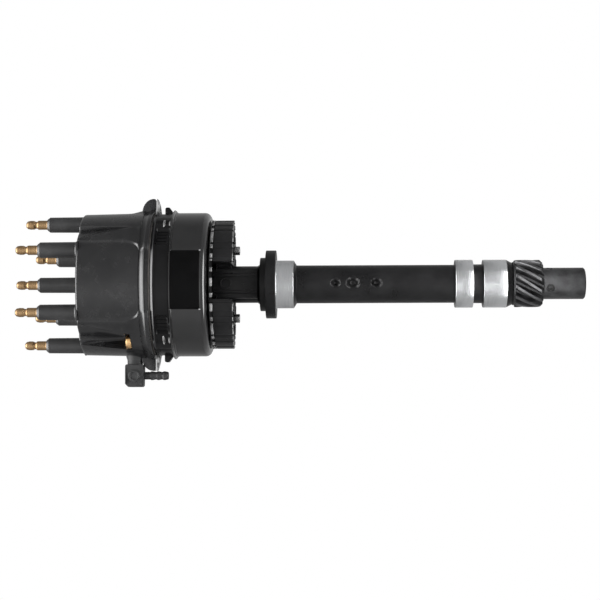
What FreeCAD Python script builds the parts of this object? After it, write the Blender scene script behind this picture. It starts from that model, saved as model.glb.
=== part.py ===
import FreeCAD, Part
import math
import os

os.makedirs("parts", exist_ok=True)

# Marine V6 ignition distributor, in millimetres. +Z runs up the shaft towards the cap.
# The origin is the centre of the hold-down flange's underside, where the engine block carries it.
# Angles are degrees about the shaft from the label side, which faces -Y, turning towards +X.

V = FreeCAD.Vector
UP = V(0, 0, 1)
FULL_TURN = 360.0

# Fits
running_gap = 0.04
press_gap = 0.05
slip_gap = 0.3
end_play = 0.1
overrun = 1.0

# Bowl's radius, which the ring, the plate, the adapter ring and the cap all follow
bowl_radius = 48.1

# Shank, from the flange down
shaft_radius = 6.235
bushing_wall = 1.8
tube_radius = 12.7
tube_length = 105.5
pilot_radius = 16.0
upper_pilot_length = 11.7
pilot_chamfer = 2.0
upper_band_length = 11.9
oil_groove_length = 6.7
oil_groove_radius = 13.0
lower_band_length = 15.3
nose_length = 4.4
nose_radius = 13.75
casting_dimple_radii = [2.7, 3.9, 3.1]
casting_dimple_drops = [39.5, 51.1, 66.7]
casting_dimple_depth = 0.8

# Flange, collar and neck, from the flange up
flange_radius = 22.8
flange_thickness = 6.8
collar_radius = 17.9
collar_height = 3.85
collar_slope = 1.75
neck_radius = 11.9
neck_height = 15.7
neck_pad_width = 13.2
neck_pad_reach = 14.2
neck_pad_foot = 3.0

# Ribbed ring at the top of the housing
ring_inset = 5.1
ring_wall = 5.0
ring_height = 14.2
ring_floor = 3.2
ring_edge_round = 1.2
ring_rib_pitch = 22.5
ring_rib_phase = -2.0
ring_wide_rib_half_angle = 7.4
ring_groove_width = 0.9
ring_groove_depth = 1.4
ring_notch_margin = 0.9
ring_gusset_thickness = 3.0
ring_gusset_angles = [45.0, 135.0, 180.0, 225.0, 315.0]
base_screw_circle = 22.7
base_screw_angles = [90.0, 270.0]
base_screw_radius = 2.0
base_screw_head_radius = 2.9
base_screw_head_height = 3.6
base_boss_radius = 4.6

# Bowl
bowl_seat_height = 1.0
bowl_seat_inset = 2.0
bowl_wall = 2.4
bowl_floor = 3.0
bowl_height = 24.5
bowl_shoulder = 4.0
lip_height = 1.1
lip_reach = 0.5
sleeve_rise = 3.0
screw_boss_radius = 3.9

# Adapter ring, gasket and cap
adapter_inset = 0.7
adapter_wall = 3.6
adapter_height = 12.2
adapter_rim_height = 2.5
adapter_rim_reach = 0.2
adapter_pocket_half_angle = 7.0
adapter_pocket_angles = [38.0, 142.0, 218.0, 322.0]
adapter_pocket_depth = 1.9
ear_length = 9.7
ear_width = 8.0
ear_tip_thickness = 0.7
ear_drop = 2.0
tab_length = 3.9
tab_height = 3.4
tab_width = 6.0
tab_rise = 4.0
gasket_thickness = 1.0
gasket_inset = 0.2
cap_flange_reach = 0.8
cap_flange_thickness = 2.6
cap_cove_height = 3.6
cap_base_inset = 0.1
cap_taper = 0.8
cap_lug_height = 9.0
cap_lug_steps = 6
cap_height = 47.3
cap_wall = 2.8
cap_face_wall = 4.3
cap_edge_chamfer = 2.0
cap_centre_boss_radius = 14.0
cap_centre_boss_height = 0.8
tower_count = 6
tower_inset = 6.5
tower_radius = 5.25
tower_rise = 26.0
coil_tower_rise = 32.3
tower_chamfer = 1.8

# Cap screws
cap_screw_inset = 3.8
cap_screw_angles = [120.0, 300.0]
cap_screw_radius = 2.1
cap_screw_head_radius = 5.0
cap_screw_head_height = 3.7
cap_screw_seat_height = 13.2
cap_screw_length = 33.0
cap_screw_slot_width = 1.2
cap_screw_slot_depth = 1.4
cap_channel_radius = 6.2
cap_channel_tip_radius = 0.8

# Terminals
terminal_barrel_radius = 3.1
terminal_barrel_length = 7.3
terminal_neck_radius = 2.0
terminal_neck_length = 2.0
terminal_head_radius = 3.0
terminal_head_length = 5.1
terminal_stem_radius = 2.0
electrode_overlap = 2.3

# Vent fitting
vent_stem_radius = 4.4
vent_stem_length = 5.4
vent_seat_reach = 1.0
vent_height = 13.7
vent_block_length = 15.1
vent_block_width = 12.2
vent_block_depth = 12.0
vent_block_corner = 1.8
vent_barb_radius = 2.95
vent_barb_core_radius = 2.2
vent_bore_radius = 1.3
vent_barb_length = 16.4
vent_barb_shank_length = 5.0
vent_barb_count = 3
vent_plug_radius = 4.2
vent_plug_height = 1.2

# Drive gear
gear_teeth = 13
gear_tip_radius = 15.9
gear_root_radius = 12.4
gear_face = 18.6
gear_helix = 33.0
gear_tip_share = 0.24
gear_root_share = 0.46
gear_sections = 6
gear_chamfer = 1.8
gear_hub_radius = 10.5
gear_hub_length = 28.1
gear_hub_chamfer = 0.8
thrust_washer_radius = 14.4
thrust_washer_thickness = 0.6
roll_pin_radius = 2.38
roll_pin_drop = 4.7
roll_pin_angle = -21.3
hub_dimple_radius = 1.9
hub_dimple_depth = 1.2
drive_slot_width = 5.2
drive_slot_depth = 6.5

# Inner parts
bushing_length = 22.0
seal_height = 4.0
slinger_radius = 10.5
slinger_thickness = 1.0
sensor_plate_inset = 8.1
sensor_plate_thickness = 1.6
sensor_plate_bore = 15.0
vane_inset = 9.0
vane_wall = 1.2
vane_drop = 9.0
vane_half_angle = 15.0
wheel_disc_thickness = 1.6
wheel_hub_radius = 10.0
wheel_hub_height = 6.0
wheel_rise = 15.0
wheel_clip_radius = 8.6
wheel_clip_thickness = 1.2
sensor_width = 16.0
sensor_gap = 2.0
sensor_head_gap = 1.1
sensor_arm = 3.6
sensor_foot = 3.0
sensor_screw_radius = 1.5
sensor_screw_head_radius = 2.8
sensor_screw_head_height = 1.6
sensor_lug = 5.0
rotor_rise = 26.0
rotor_base_radius = 27.0
rotor_base_thickness = 4.0
rotor_column_radius = 12.0
rotor_height = 38.0
rotor_arm_width = 15.0
rotor_arm_thickness = 4.0
rotor_socket_depth = 16.0
rotor_key_depth = 1.6
blade_width = 7.0
blade_thickness = 1.3
blade_gap = 1.0
contact_width = 5.0
contact_thickness = 0.5
contact_lift = 2.4
rotor_screw_radius = 1.6
rotor_screw_head_radius = 3.1
rotor_screw_head_height = 2.0
rotor_screw_offset = 17.0
brush_radius = 2.6
brush_length = 14.0
brush_rest_gap = 0.3
spring_radius = 2.2
spring_wire_radius = 0.3
spring_turns = 5

# Radii that follow from the bowl's
ring_radius = bowl_radius - ring_inset
bowl_seat_radius = ring_radius - bowl_seat_inset
adapter_radius = bowl_radius - adapter_inset
adapter_rim_radius = bowl_radius + adapter_rim_reach
ear_reach = bowl_radius + ear_length
gasket_radius = adapter_radius - gasket_inset
cap_flange_radius = bowl_radius + cap_flange_reach
cap_base_radius = bowl_radius - cap_base_inset
cap_face_radius = cap_base_radius - cap_taper
cap_screw_circle = bowl_radius - cap_screw_inset
tower_circle = cap_face_radius - tower_inset
sensor_plate_radius = bowl_radius - sensor_plate_inset
vane_radius = sensor_plate_radius - vane_inset

# Heights that follow from the sizes above, going down from the flange
tube_foot = -tube_length - upper_pilot_length - pilot_chamfer
upper_band_foot = tube_foot - upper_band_length
oil_groove_foot = upper_band_foot - oil_groove_length
lower_band_foot = oil_groove_foot - lower_band_length
nose_foot = lower_band_foot - nose_length
thrust_face = nose_foot - end_play / 2
gear_top = thrust_face - 2 * thrust_washer_thickness
gear_foot = gear_top - gear_face
hub_foot = gear_foot - gear_hub_length
bore_radius = shaft_radius + bushing_wall

# Heights going up from the flange
collar_top = flange_thickness + collar_height
neck_foot = collar_top + collar_slope
ring_foot = neck_foot + neck_height
ring_top = ring_foot + ring_height
bowl_foot = ring_top + bowl_seat_height
bowl_top = bowl_foot + bowl_height
adapter_top = bowl_top + adapter_height
cap_foot = adapter_top + gasket_thickness
cap_face = cap_foot + cap_height
cap_cove_foot = cap_foot + cap_flange_thickness
tower_top = cap_face + tower_rise
coil_tower_top = cap_face + coil_tower_rise
cavity_top = cap_face - cap_face_wall
cavity_radius = cap_base_radius - cap_wall
sleeve_top = bowl_foot + bowl_floor + sleeve_rise
plate_foot = bowl_foot + bowl_floor
wheel_foot = plate_foot + sensor_plate_thickness + wheel_rise
rotor_foot = plate_foot + rotor_rise
rotor_top = rotor_foot + rotor_height
shaft_top = rotor_foot + rotor_socket_depth - slip_gap
blade_top = rotor_top + blade_thickness
contact_top = blade_top + contact_lift + contact_thickness
brush_foot = contact_top + brush_rest_gap
electrode_inner = tower_circle - terminal_stem_radius
blade_reach = electrode_inner - blade_gap
cap_screw_seat = cap_foot + cap_screw_seat_height


def at(radius, angle, height=0.0):
    """Point at a radius, an angle from the label side and a height."""
    turn = math.radians(angle)
    return V(radius * math.sin(turn), -radius * math.cos(turn), height)


def turned(shape, angle):
    """Copy of a shape, turned about the shaft's axis."""
    copy = shape.copy()
    copy.rotate(V(0, 0, 0), UP, angle)
    return copy


def spaced(count, first=0.0):
    """Angles of evenly spaced copies."""
    return [first + index * FULL_TURN / count for index in range(count)]


def rod(radius, low, high, centre=V(0, 0, 0)):
    """Upright cylinder between two heights."""
    return Part.makeCylinder(radius, high - low, V(centre.x, centre.y, low), UP)


def tube(outer, inner, low, high):
    """Upright tube between two heights."""
    return rod(outer, low, high).cut(rod(inner, low - overrun, high + overrun))


def block(low, high):
    """Box between two corners."""
    size = high.sub(low)
    return Part.makeBox(size.x, size.y, size.z, low)


def arc(middle, end):
    """A curved step of an outline, through a middle point to an end point."""
    return (middle, end)


def spun(steps, centre=V(0, 0, 0)):
    """Solid of revolution from (radius, height) steps; a step may be an arc."""
    edges = []
    start = steps[0]
    here = V(start[0], 0, start[1])
    for step in steps[1:] + [start]:
        curved = isinstance(step[0], tuple)
        end = step[1] if curved else step
        there = V(end[0], 0, end[1])
        if curved:
            middle = V(step[0][0], 0, step[0][1])
            edges.append(Part.Arc(here, middle, there).toShape())
        else:
            edges.append(Part.makeLine(here, there))
        here = there
    solid = Part.Face(Part.Wire(edges)).revolve(V(0, 0, 0), UP, FULL_TURN)
    solid.translate(centre)
    return solid


def quarter(centre, radius, first, last):
    """Arc step about a centre from one angle to another, in the outline's plane."""
    half = math.radians((first + last) / 2)
    final = math.radians(last)
    middle = (centre[0] + radius * math.cos(half), centre[1] + radius * math.sin(half))
    end = (centre[0] + radius * math.cos(final), centre[1] + radius * math.sin(final))
    return arc(middle, end)


def sector(inner, outer, low, high, half_angle, centre_angle=0.0):
    """Part of a tube between two angles."""
    ring = tube(outer, inner, low, high)
    wedge_reach = 2 * outer
    corners = [V(0, 0, low - overrun)]
    steps = max(1, math.ceil(half_angle / 45.0))
    for index in range(2 * steps + 1):
        angle = centre_angle - half_angle + index * half_angle / steps
        corners.append(at(wedge_reach, angle, low - overrun))
    wedge = Part.Face(Part.makePolygon(corners + corners[:1])).extrude(V(0, 0, high - low + 2 * overrun))
    return ring.common(wedge)


def export(name, solids):
    """Write one named sub-part, made of one or more closed solids."""
    pieces = []
    for shape in solids:
        pieces.extend(shape.Solids)
    for piece in pieces:
        if not piece.isValid():
            raise ValueError(name + " has an invalid solid")
    shape = pieces[0] if len(pieces) == 1 else Part.makeCompound(pieces)
    shape.exportStep("parts/" + name + ".step")
    print(name, len(pieces), round(sum(piece.Volume for piece in pieces), 1))


def ring_grooves():
    """Shallow axial grooves that part the ring's wide and narrow ribs."""
    grooves = []
    for centre in spaced(round(FULL_TURN / ring_rib_pitch), ring_rib_phase):
        for side in (-ring_wide_rib_half_angle, ring_wide_rib_half_angle):
            half_width = ring_groove_width / 2
            low = V(-half_width, -ring_radius - overrun, ring_foot - overrun)
            high = V(half_width, -ring_radius + ring_groove_depth, ring_top + overrun)
            grooves.append(turned(block(low, high), centre + side))
    return grooves


def housing():
    """The casting: shank, pilots, hold-down flange, neck and ribbed ring, bored for the bushings."""
    ring_inside = ring_radius - ring_wall
    ring_ceiling = ring_top - ring_floor
    edge = ring_edge_round
    slope_start = neck_radius + collar_slope
    outline = [
        (bore_radius, nose_foot),
        (nose_radius, nose_foot),
        (pilot_radius, lower_band_foot),
        (pilot_radius, oil_groove_foot),
        (oil_groove_radius, oil_groove_foot),
        (oil_groove_radius, upper_band_foot),
        (pilot_radius, upper_band_foot),
        (pilot_radius, tube_foot),
        (tube_radius, tube_foot),
        (tube_radius, -upper_pilot_length - pilot_chamfer),
        (pilot_radius, -upper_pilot_length),
        (pilot_radius, 0),
        (flange_radius, 0),
        (flange_radius, flange_thickness),
        (collar_radius, flange_thickness),
        (collar_radius, collar_top),
        (slope_start, collar_top),
        (neck_radius, neck_foot),
        (neck_radius, ring_ceiling),
        (ring_inside, ring_ceiling),
        (ring_inside, ring_foot),
        (ring_radius - edge, ring_foot),
        quarter((ring_radius - edge, ring_foot + edge), edge, -90, 0),
        (ring_radius, ring_top - edge),
        quarter((ring_radius - edge, ring_top - edge), edge, 0, 90),
        (bowl_seat_radius, ring_top),
        (bowl_seat_radius, bowl_foot),
        (neck_radius, bowl_foot),
        (neck_radius, sleeve_top),
        (bore_radius, sleeve_top),
    ]
    body = spun(outline)
    notch_half = neck_radius + ring_notch_margin
    notch = block(V(-notch_half, -ring_radius - overrun, ring_foot - overrun), V(notch_half, 0, ring_top))
    body = body.cut(notch.cut(rod(neck_radius, ring_foot - overrun, ring_top)))
    body = body.cut(Part.makeCompound(ring_grooves()))
    additions = []
    half_pad = neck_pad_width / 2
    pad_low = V(-half_pad, -neck_pad_reach, neck_foot + neck_pad_foot)
    additions.append(block(pad_low, V(half_pad, -bore_radius - 1.0, ring_top)))
    for angle in ring_gusset_angles:
        half = ring_gusset_thickness / 2
        low = V(-half, -ring_inside - ring_wall / 2, ring_foot + ring_edge_round)
        high = V(half, -neck_radius + bushing_wall, ring_ceiling + ring_floor / 2)
        additions.append(turned(block(low, high), angle))
    for angle in base_screw_angles:
        centre = at(base_screw_circle, angle)
        additions.append(rod(base_boss_radius, ring_foot, ring_ceiling + ring_floor / 2, centre))
    body = body.fuse(additions).removeSplitter()
    holes = []
    for angle in base_screw_angles:
        centre = at(base_screw_circle, angle)
        holes.append(rod(base_screw_radius + press_gap, ring_foot - overrun, bowl_foot + overrun, centre))
    for radius, drop in zip(casting_dimple_radii, casting_dimple_drops):
        start = V(0, -tube_radius - overrun, -drop)
        holes.append(Part.makeCylinder(radius, overrun + casting_dimple_depth, start, V(0, 1, 0)))
    return body.cut(holes)


def bushing(low):
    """Plain bronze bush, pressed into the bore."""
    return tube(bore_radius - press_gap, shaft_radius + running_gap, low, low + bushing_length)


def shaft_seal():
    """Lip seal that stands on the sleeve's bore, above the upper bush."""
    low = sleeve_top - seal_height
    return tube(bore_radius - press_gap, shaft_radius + running_gap, low, sleeve_top)


def shaft_and_slot():
    """Main shaft with the oil pump's drive slot across its foot."""
    foot = hub_foot + gear_hub_chamfer
    shaft = rod(shaft_radius, foot, shaft_top)
    slot = block(
        V(-drive_slot_width / 2, -2 * shaft_radius, foot - overrun),
        V(drive_slot_width / 2, 2 * shaft_radius, foot + drive_slot_depth),
    )
    key_flat = block(
        V(shaft_radius - rotor_key_depth, -shaft_radius, rotor_foot),
        V(2 * shaft_radius, shaft_radius, shaft_top + overrun),
    )
    return shaft.cut([slot, key_flat, roll_pin_hole()])


def roll_pin_hole():
    """Cross hole through hub and shaft."""
    height = gear_foot - roll_pin_drop
    direction = at(1, roll_pin_angle)
    start = at(-2 * gear_hub_radius, roll_pin_angle, height)
    return Part.makeCylinder(roll_pin_radius + press_gap, 4 * gear_hub_radius, start, direction)


def roll_pin():
    """Hollow spring pin that holds the gear on the shaft."""
    height = gear_foot - roll_pin_drop
    reach = gear_hub_radius - gear_hub_chamfer
    direction = at(1, roll_pin_angle)
    start = at(-reach, roll_pin_angle, height)
    pin = Part.makeCylinder(roll_pin_radius, 2 * reach, start, direction)
    hollow = Part.makeCylinder(roll_pin_radius / 2, 2 * reach, start, direction)
    return pin.cut(hollow)


def gear_outline(height, twist):
    """Closed outline of all teeth at one height, turned by the helix."""
    pitch = FULL_TURN / gear_teeth
    edges = []
    tips = []
    for tooth in range(gear_teeth):
        middle = tooth * pitch + twist
        tip_half = pitch * gear_tip_share / 2
        root_half = pitch * gear_root_share / 2
        foot_in = at(gear_root_radius, middle - pitch / 2 + root_half / 2, height)
        tip_in = at(gear_tip_radius, middle - tip_half, height)
        tip_out = at(gear_tip_radius, middle + tip_half, height)
        foot_out = at(gear_root_radius, middle + pitch / 2 - root_half / 2, height)
        tips.extend([foot_in, tip_in, tip_out, foot_out])
    for index, point in enumerate(tips):
        edges.append(Part.makeLine(point, tips[(index + 1) % len(tips)]))
    return Part.Wire(edges)


def drive_gear():
    """Helical gear in one piece with its long hub."""
    full_twist = math.degrees(gear_face * math.tan(math.radians(gear_helix)) / gear_tip_radius)
    sections = []
    for index in range(gear_sections):
        share = index / (gear_sections - 1)
        sections.append(gear_outline(gear_foot + share * gear_face, share * full_twist))
    teeth = Part.makeLoft(sections, True, True)
    envelope = spun([
        (0, gear_foot),
        (gear_tip_radius - gear_chamfer, gear_foot),
        (gear_tip_radius, gear_foot + gear_chamfer),
        (gear_tip_radius, gear_top),
        (0, gear_top),
    ])
    hub = spun([
        (0, hub_foot),
        (gear_hub_radius - gear_hub_chamfer, hub_foot),
        (gear_hub_radius, hub_foot + gear_hub_chamfer),
        (gear_hub_radius, gear_foot + gear_face / 2),
        (0, gear_foot + gear_face / 2),
    ])
    gear = teeth.common(envelope).fuse(hub)
    dimple_height = gear_foot - roll_pin_drop
    side = roll_pin_angle + 90
    start = at(gear_hub_radius + overrun, side, dimple_height)
    dimple = Part.makeCylinder(hub_dimple_radius, hub_dimple_depth + overrun, start, at(-1, side))
    shaft_hole = rod(shaft_radius + press_gap, hub_foot - overrun, gear_top + overrun)
    return gear.cut([shaft_hole, roll_pin_hole(), dimple])


def thrust_washer(low):
    """Flat hardened washer between gear and housing."""
    return tube(thrust_washer_radius, shaft_radius + slip_gap, low, low + thrust_washer_thickness)


def bowl():
    """Deep can over the sensor, with a rounded shoulder and a rolled lip."""
    inner = bowl_radius - bowl_wall
    floor_top = bowl_foot + bowl_floor
    slope = bowl_shoulder - bowl_wall
    hole = neck_radius + press_gap
    body = spun([
        (hole, bowl_foot),
        (bowl_radius - bowl_shoulder, bowl_foot),
        quarter((bowl_radius - bowl_shoulder, bowl_foot + bowl_shoulder), bowl_shoulder, -90, 0),
        (bowl_radius, bowl_top - lip_height),
        (bowl_radius + lip_reach, bowl_top - lip_height),
        (bowl_radius + lip_reach, bowl_top),
        (inner, bowl_top),
        (inner, floor_top + slope),
        (inner - slope, floor_top),
        (hole, floor_top),
    ])
    bosses = []
    for angle in cap_screw_angles:
        boss = rod(screw_boss_radius, floor_top - bowl_floor / 2, bowl_top, at(cap_screw_circle, angle))
        bosses.append(boss.common(rod(bowl_radius - bowl_wall / 2, bowl_foot, bowl_top)))
    body = body.fuse(bosses)
    holes = []
    hole_foot = cap_screw_seat - cap_screw_length - overrun
    for angle in cap_screw_angles:
        centre = at(cap_screw_circle, angle)
        holes.append(rod(cap_screw_radius + press_gap, hole_foot, bowl_top + overrun, centre))
    for angle in base_screw_angles:
        centre = at(base_screw_circle, angle)
        holes.append(rod(base_screw_radius + press_gap, bowl_foot - overrun, floor_top + overrun, centre))
    return body.cut(holes)


def base_screw(angle):
    """Screw up through the ring and the bowl's floor into the sensor plate."""
    centre = at(base_screw_circle, angle)
    head = rod(base_screw_head_radius, ring_foot - base_screw_head_height, ring_foot, centre)
    shank = rod(base_screw_radius, ring_foot, plate_foot + sensor_plate_thickness, centre)
    return head.fuse(shank)


def lug(side, outline, width):
    """Flat web that stands out at one side, from its corners' radii and heights."""
    corners = [V(side * radius, -width / 2, height) for radius, height in outline]
    web = Part.Face(Part.makePolygon(corners + corners[:1]))
    return web.extrude(V(0, width, 0))


def adapter_ear(side):
    """Thin ear under the cap's lug, with a sloping underside."""
    root = adapter_radius - adapter_wall / 2
    return lug(side, [
        (root, adapter_top - ear_drop),
        (adapter_rim_radius, adapter_top - ear_drop),
        (ear_reach, adapter_top - ear_tip_thickness),
        (ear_reach, adapter_top),
        (root, adapter_top),
    ], ear_width)


def adapter_tab(side):
    """Short tab below the ear, which slopes down to the bowl."""
    root = adapter_radius - adapter_wall / 2
    low = bowl_top + tab_rise
    return lug(side, [
        (root, bowl_top),
        (adapter_radius + (adapter_rim_radius - adapter_radius) / 2, bowl_top),
        (bowl_radius + tab_length, low),
        (bowl_radius + tab_length, low + tab_height),
        (root, low + tab_height),
    ], tab_width)


def cap_lug(side):
    """Lug at the cap's foot, whose outer edge curves up into the wall."""
    root = cap_base_radius - cap_wall
    across = ear_reach - cap_base_radius
    outline = [(root, cap_foot), (ear_reach, cap_foot)]
    for step in range(cap_lug_steps + 1):
        turn = math.radians(90 * step / cap_lug_steps)
        outline.append((
            cap_base_radius + across * math.cos(turn),
            cap_foot + ear_tip_thickness + (cap_lug_height - ear_tip_thickness) * math.sin(turn),
        ))
    outline.append((root, cap_foot + cap_lug_height))
    return lug(side, outline, ear_width)


def adapter_ring():
    """Spacer ring between bowl and cap, with four pockets, screw bosses and two ears."""
    inner = adapter_radius - adapter_wall
    rim_foot = adapter_top - adapter_rim_height
    body = tube(adapter_radius, inner, bowl_top, rim_foot)
    body = body.fuse(tube(adapter_rim_radius, inner, rim_foot, adapter_top))
    bosses = []
    for angle in cap_screw_angles:
        boss = rod(screw_boss_radius, bowl_top, adapter_top, at(cap_screw_circle, angle))
        bosses.append(boss.common(rod(adapter_rim_radius, bowl_top, adapter_top)))
    additions = bosses + [adapter_ear(-1), adapter_ear(1), adapter_tab(-1), adapter_tab(1)]
    body = body.fuse(additions)
    cuts = [rod(inner, bowl_top, adapter_top).cut(Part.makeCompound(bosses))]
    for angle in adapter_pocket_angles:
        low = bowl_top + adapter_rim_height
        cuts.append(sector(
            adapter_radius - adapter_pocket_depth, adapter_radius + overrun, low, rim_foot,
            adapter_pocket_half_angle, angle,
        ))
    for angle in cap_screw_angles:
        centre = at(cap_screw_circle, angle)
        cuts.append(rod(cap_screw_radius + press_gap, bowl_top - overrun, adapter_top + overrun, centre))
    return body.cut(cuts)


def gasket_tab(side):
    """Tab of the gasket between the cap's lug and the adapter's ear."""
    root = adapter_radius - adapter_wall / 2
    tip = ear_reach - gasket_inset
    return lug(side, [(root, adapter_top), (tip, adapter_top), (tip, cap_foot), (root, cap_foot)], ear_width)


def gasket():
    """Flat gasket under the cap, with a tab at each ear."""
    ring = tube(gasket_radius, adapter_radius - adapter_wall, adapter_top, cap_foot)
    ring = ring.fuse([gasket_tab(1), gasket_tab(-1)]).removeSplitter()
    holes = []
    for angle in cap_screw_angles:
        centre = at(cap_screw_circle, angle)
        holes.append(rod(cap_screw_radius + slip_gap, adapter_top - overrun, cap_foot + overrun, centre))
    return ring.cut(holes)


def screw_pocket(angle, growth):
    """Tapered channel in the cap's side, in which a cap screw's head sits."""
    foot = at(cap_screw_circle, angle, cap_screw_seat - growth)
    tip = at(cap_face_radius + cap_channel_tip_radius, angle, cap_face + overrun)
    wide = Part.Wire(Part.makeCircle(cap_channel_radius + growth, foot))
    narrow = Part.Wire(Part.makeCircle(cap_channel_tip_radius + growth, tip))
    return Part.makeLoft([wide, narrow], True, True)


def tower(radius, low, high):
    """Tower on the cap's face, with a chamfered end."""
    return spun([
        (0, low),
        (radius, low),
        (radius, high - tower_chamfer),
        (radius - tower_chamfer, high),
        (0, high),
    ])


def cap():
    """Moulded cap: hollow shell with six lead towers, the coil tower and the screw channels."""
    cove_top = cap_cove_foot + cap_cove_height
    edge = cap_edge_chamfer
    cove_drop = cap_flange_radius - cap_base_radius
    shell = spun([
        (0, cap_foot),
        (cap_flange_radius, cap_foot),
        (cap_flange_radius, cap_cove_foot),
        (cap_base_radius + cove_drop / 3, cap_cove_foot + cap_cove_height / 3),
        (cap_base_radius, cove_top),
        (cap_face_radius, cap_face - edge),
        (cap_face_radius - edge, cap_face),
        (cap_centre_boss_radius, cap_face),
        (cap_centre_boss_radius - cap_centre_boss_height, cap_face + cap_centre_boss_height),
        (0, cap_face + cap_centre_boss_height),
    ])
    additions = [tower(tower_radius, cap_face - edge, coil_tower_top)]
    for angle in spaced(tower_count, FULL_TURN / tower_count / 2):
        post = tower(tower_radius, cap_face - edge, tower_top)
        post.translate(at(tower_circle, angle))
        additions.append(post)
    stem_start = V(-cavity_radius, 0, cap_foot + vent_height)
    stem_length = cap_base_radius + vent_seat_reach - cavity_radius
    additions.append(Part.makeCylinder(vent_stem_radius, stem_length, stem_start, V(-1, 0, 0)))
    additions += [cap_lug(-1), cap_lug(1)]
    shell = shell.fuse(additions)
    cavity = rod(cavity_radius, cap_foot - overrun, cavity_top)
    for angle in cap_screw_angles:
        centre = at(cap_screw_circle, angle)
        foot = rod(cap_screw_head_radius + cap_wall, cap_foot - overrun, cap_screw_seat, centre)
        cavity = cavity.cut([screw_pocket(angle, cap_wall), foot])
    cuts = [cavity]
    for angle in cap_screw_angles:
        centre = at(cap_screw_circle, angle)
        cuts.append(screw_pocket(angle, 0.0))
        cuts.append(rod(cap_screw_radius + slip_gap, cap_foot - overrun, cap_screw_seat + overrun, centre))
    for angle in spaced(tower_count, FULL_TURN / tower_count / 2):
        centre = at(tower_circle, angle)
        cuts.append(rod(terminal_stem_radius + press_gap, cavity_top - overrun, tower_top + overrun, centre))
    cuts.append(rod(brush_radius + slip_gap, cavity_top - overrun, coil_stem_foot()))
    cuts.append(rod(terminal_stem_radius + press_gap, cavity_top, coil_tower_top + overrun))
    bore_start = V(-cavity_radius + cap_wall, 0, cap_foot + vent_height)
    bore_length = 2 * cap_wall + 2 * vent_seat_reach
    cuts.append(Part.makeCylinder(vent_bore_radius, bore_length, bore_start, V(-1, 0, 0)))
    return shell.cut(cuts)


def coil_stem_foot():
    """Height of the coil terminal's lower end, above the brush and its spring."""
    return brush_foot + brush_length + (coil_tower_top - brush_foot - brush_length) / 2


def cap_screw(angle):
    """Round-headed cap screw with a driver slot."""
    centre = at(cap_screw_circle, angle)
    head_top = cap_screw_seat + cap_screw_head_height
    crown = cap_screw_head_height / 3
    head = spun([
        (0, cap_screw_seat),
        (cap_screw_head_radius, cap_screw_seat),
        (cap_screw_head_radius, head_top - crown),
        (cap_screw_head_radius - crown, head_top),
        (0, head_top),
    ], centre)
    shank = rod(cap_screw_radius, cap_screw_seat - cap_screw_length, cap_screw_seat, centre)
    half = cap_screw_slot_width / 2
    slot = block(
        V(-half, -cap_screw_head_radius, head_top - cap_screw_slot_depth),
        V(half, cap_screw_head_radius, head_top + overrun),
    )
    slot.translate(centre)
    return head.fuse(shank).cut(slot)


def terminal(low, seat):
    """Brass terminal: barrel, snap neck, ball head and the stem down through its tower."""
    barrel_top = seat + terminal_barrel_length
    neck_top = barrel_top + terminal_neck_length
    head_top = neck_top + terminal_head_length
    flat = terminal_head_radius / 2
    return spun([
        (0, low),
        (terminal_stem_radius, low),
        (terminal_stem_radius, seat),
        (terminal_barrel_radius, seat),
        (terminal_barrel_radius, barrel_top),
        (terminal_neck_radius, barrel_top),
        (terminal_neck_radius, neck_top),
        (terminal_head_radius, neck_top + terminal_head_length / 5),
        (terminal_head_radius, head_top - terminal_head_length / 2),
        arc((terminal_head_radius * 0.86, head_top - terminal_head_length * 0.16), (flat, head_top)),
        (0, head_top),
    ])


def lead_terminal(angle):
    """One plug lead's terminal, whose stem ends as the electrode inside the cap."""
    piece = terminal(rotor_top - electrode_overlap, tower_top)
    piece.translate(at(tower_circle, angle))
    return piece


def vent_elbow():
    """Moulded elbow that turns the vent down beside the cap."""
    face = cap_base_radius + vent_seat_reach
    height = cap_foot + vent_height
    inner_face = cap_base_radius + vent_stem_length
    outer_face = inner_face + vent_block_length
    half_depth = vent_block_depth / 2
    half_width = vent_block_width / 2
    stem = Part.makeCylinder(vent_stem_radius, inner_face - face, V(-face, 0, height), V(-1, 0, 0))
    corner = vent_block_corner
    low = height - half_width
    high = height + half_width
    points = [
        V(-inner_face, -half_depth, low),
        V(-outer_face + corner, -half_depth, low),
        V(-outer_face, -half_depth, low + corner / 2),
        V(-outer_face, -half_depth, high - corner),
        V(-outer_face + corner, -half_depth, high),
        V(-inner_face, -half_depth, high),
    ]
    body = Part.Face(Part.makePolygon(points + points[:1])).extrude(V(0, vent_block_depth, 0))
    return body.fuse(stem).cut([vent_cross_bore(), vent_down_bore(), vent_plug_socket()])


def vent_middle():
    """Distance of the barb's axis from the shaft's axis."""
    return cap_base_radius + vent_stem_length + vent_block_length / 2


def vent_cross_bore():
    """Bore from the cap's side into the elbow."""
    height = cap_foot + vent_height
    start = V(-cap_base_radius, 0, height)
    return Part.makeCylinder(vent_bore_radius, vent_middle() - cap_base_radius, start, V(-1, 0, 0))


def vent_down_bore():
    """Bore from the elbow's middle down through the barb."""
    height = cap_foot + vent_height
    foot = height - vent_block_width / 2 - vent_barb_length - overrun
    return rod(vent_bore_radius, foot, height, V(-vent_middle(), 0, 0))


def vent_plug_socket():
    """Round socket for the core plug in the elbow's face."""
    height = cap_foot + vent_height
    start = V(-vent_middle(), -vent_block_depth / 2 - overrun, height)
    return Part.makeCylinder(vent_plug_radius, vent_plug_height + overrun, start, V(0, 1, 0))


def vent_plug():
    """Round plug that closes the elbow's moulding core."""
    height = cap_foot + vent_height
    start = V(-vent_middle(), -vent_block_depth / 2, height)
    return Part.makeCylinder(vent_plug_radius - press_gap, vent_plug_height, start, V(0, 1, 0))


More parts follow.
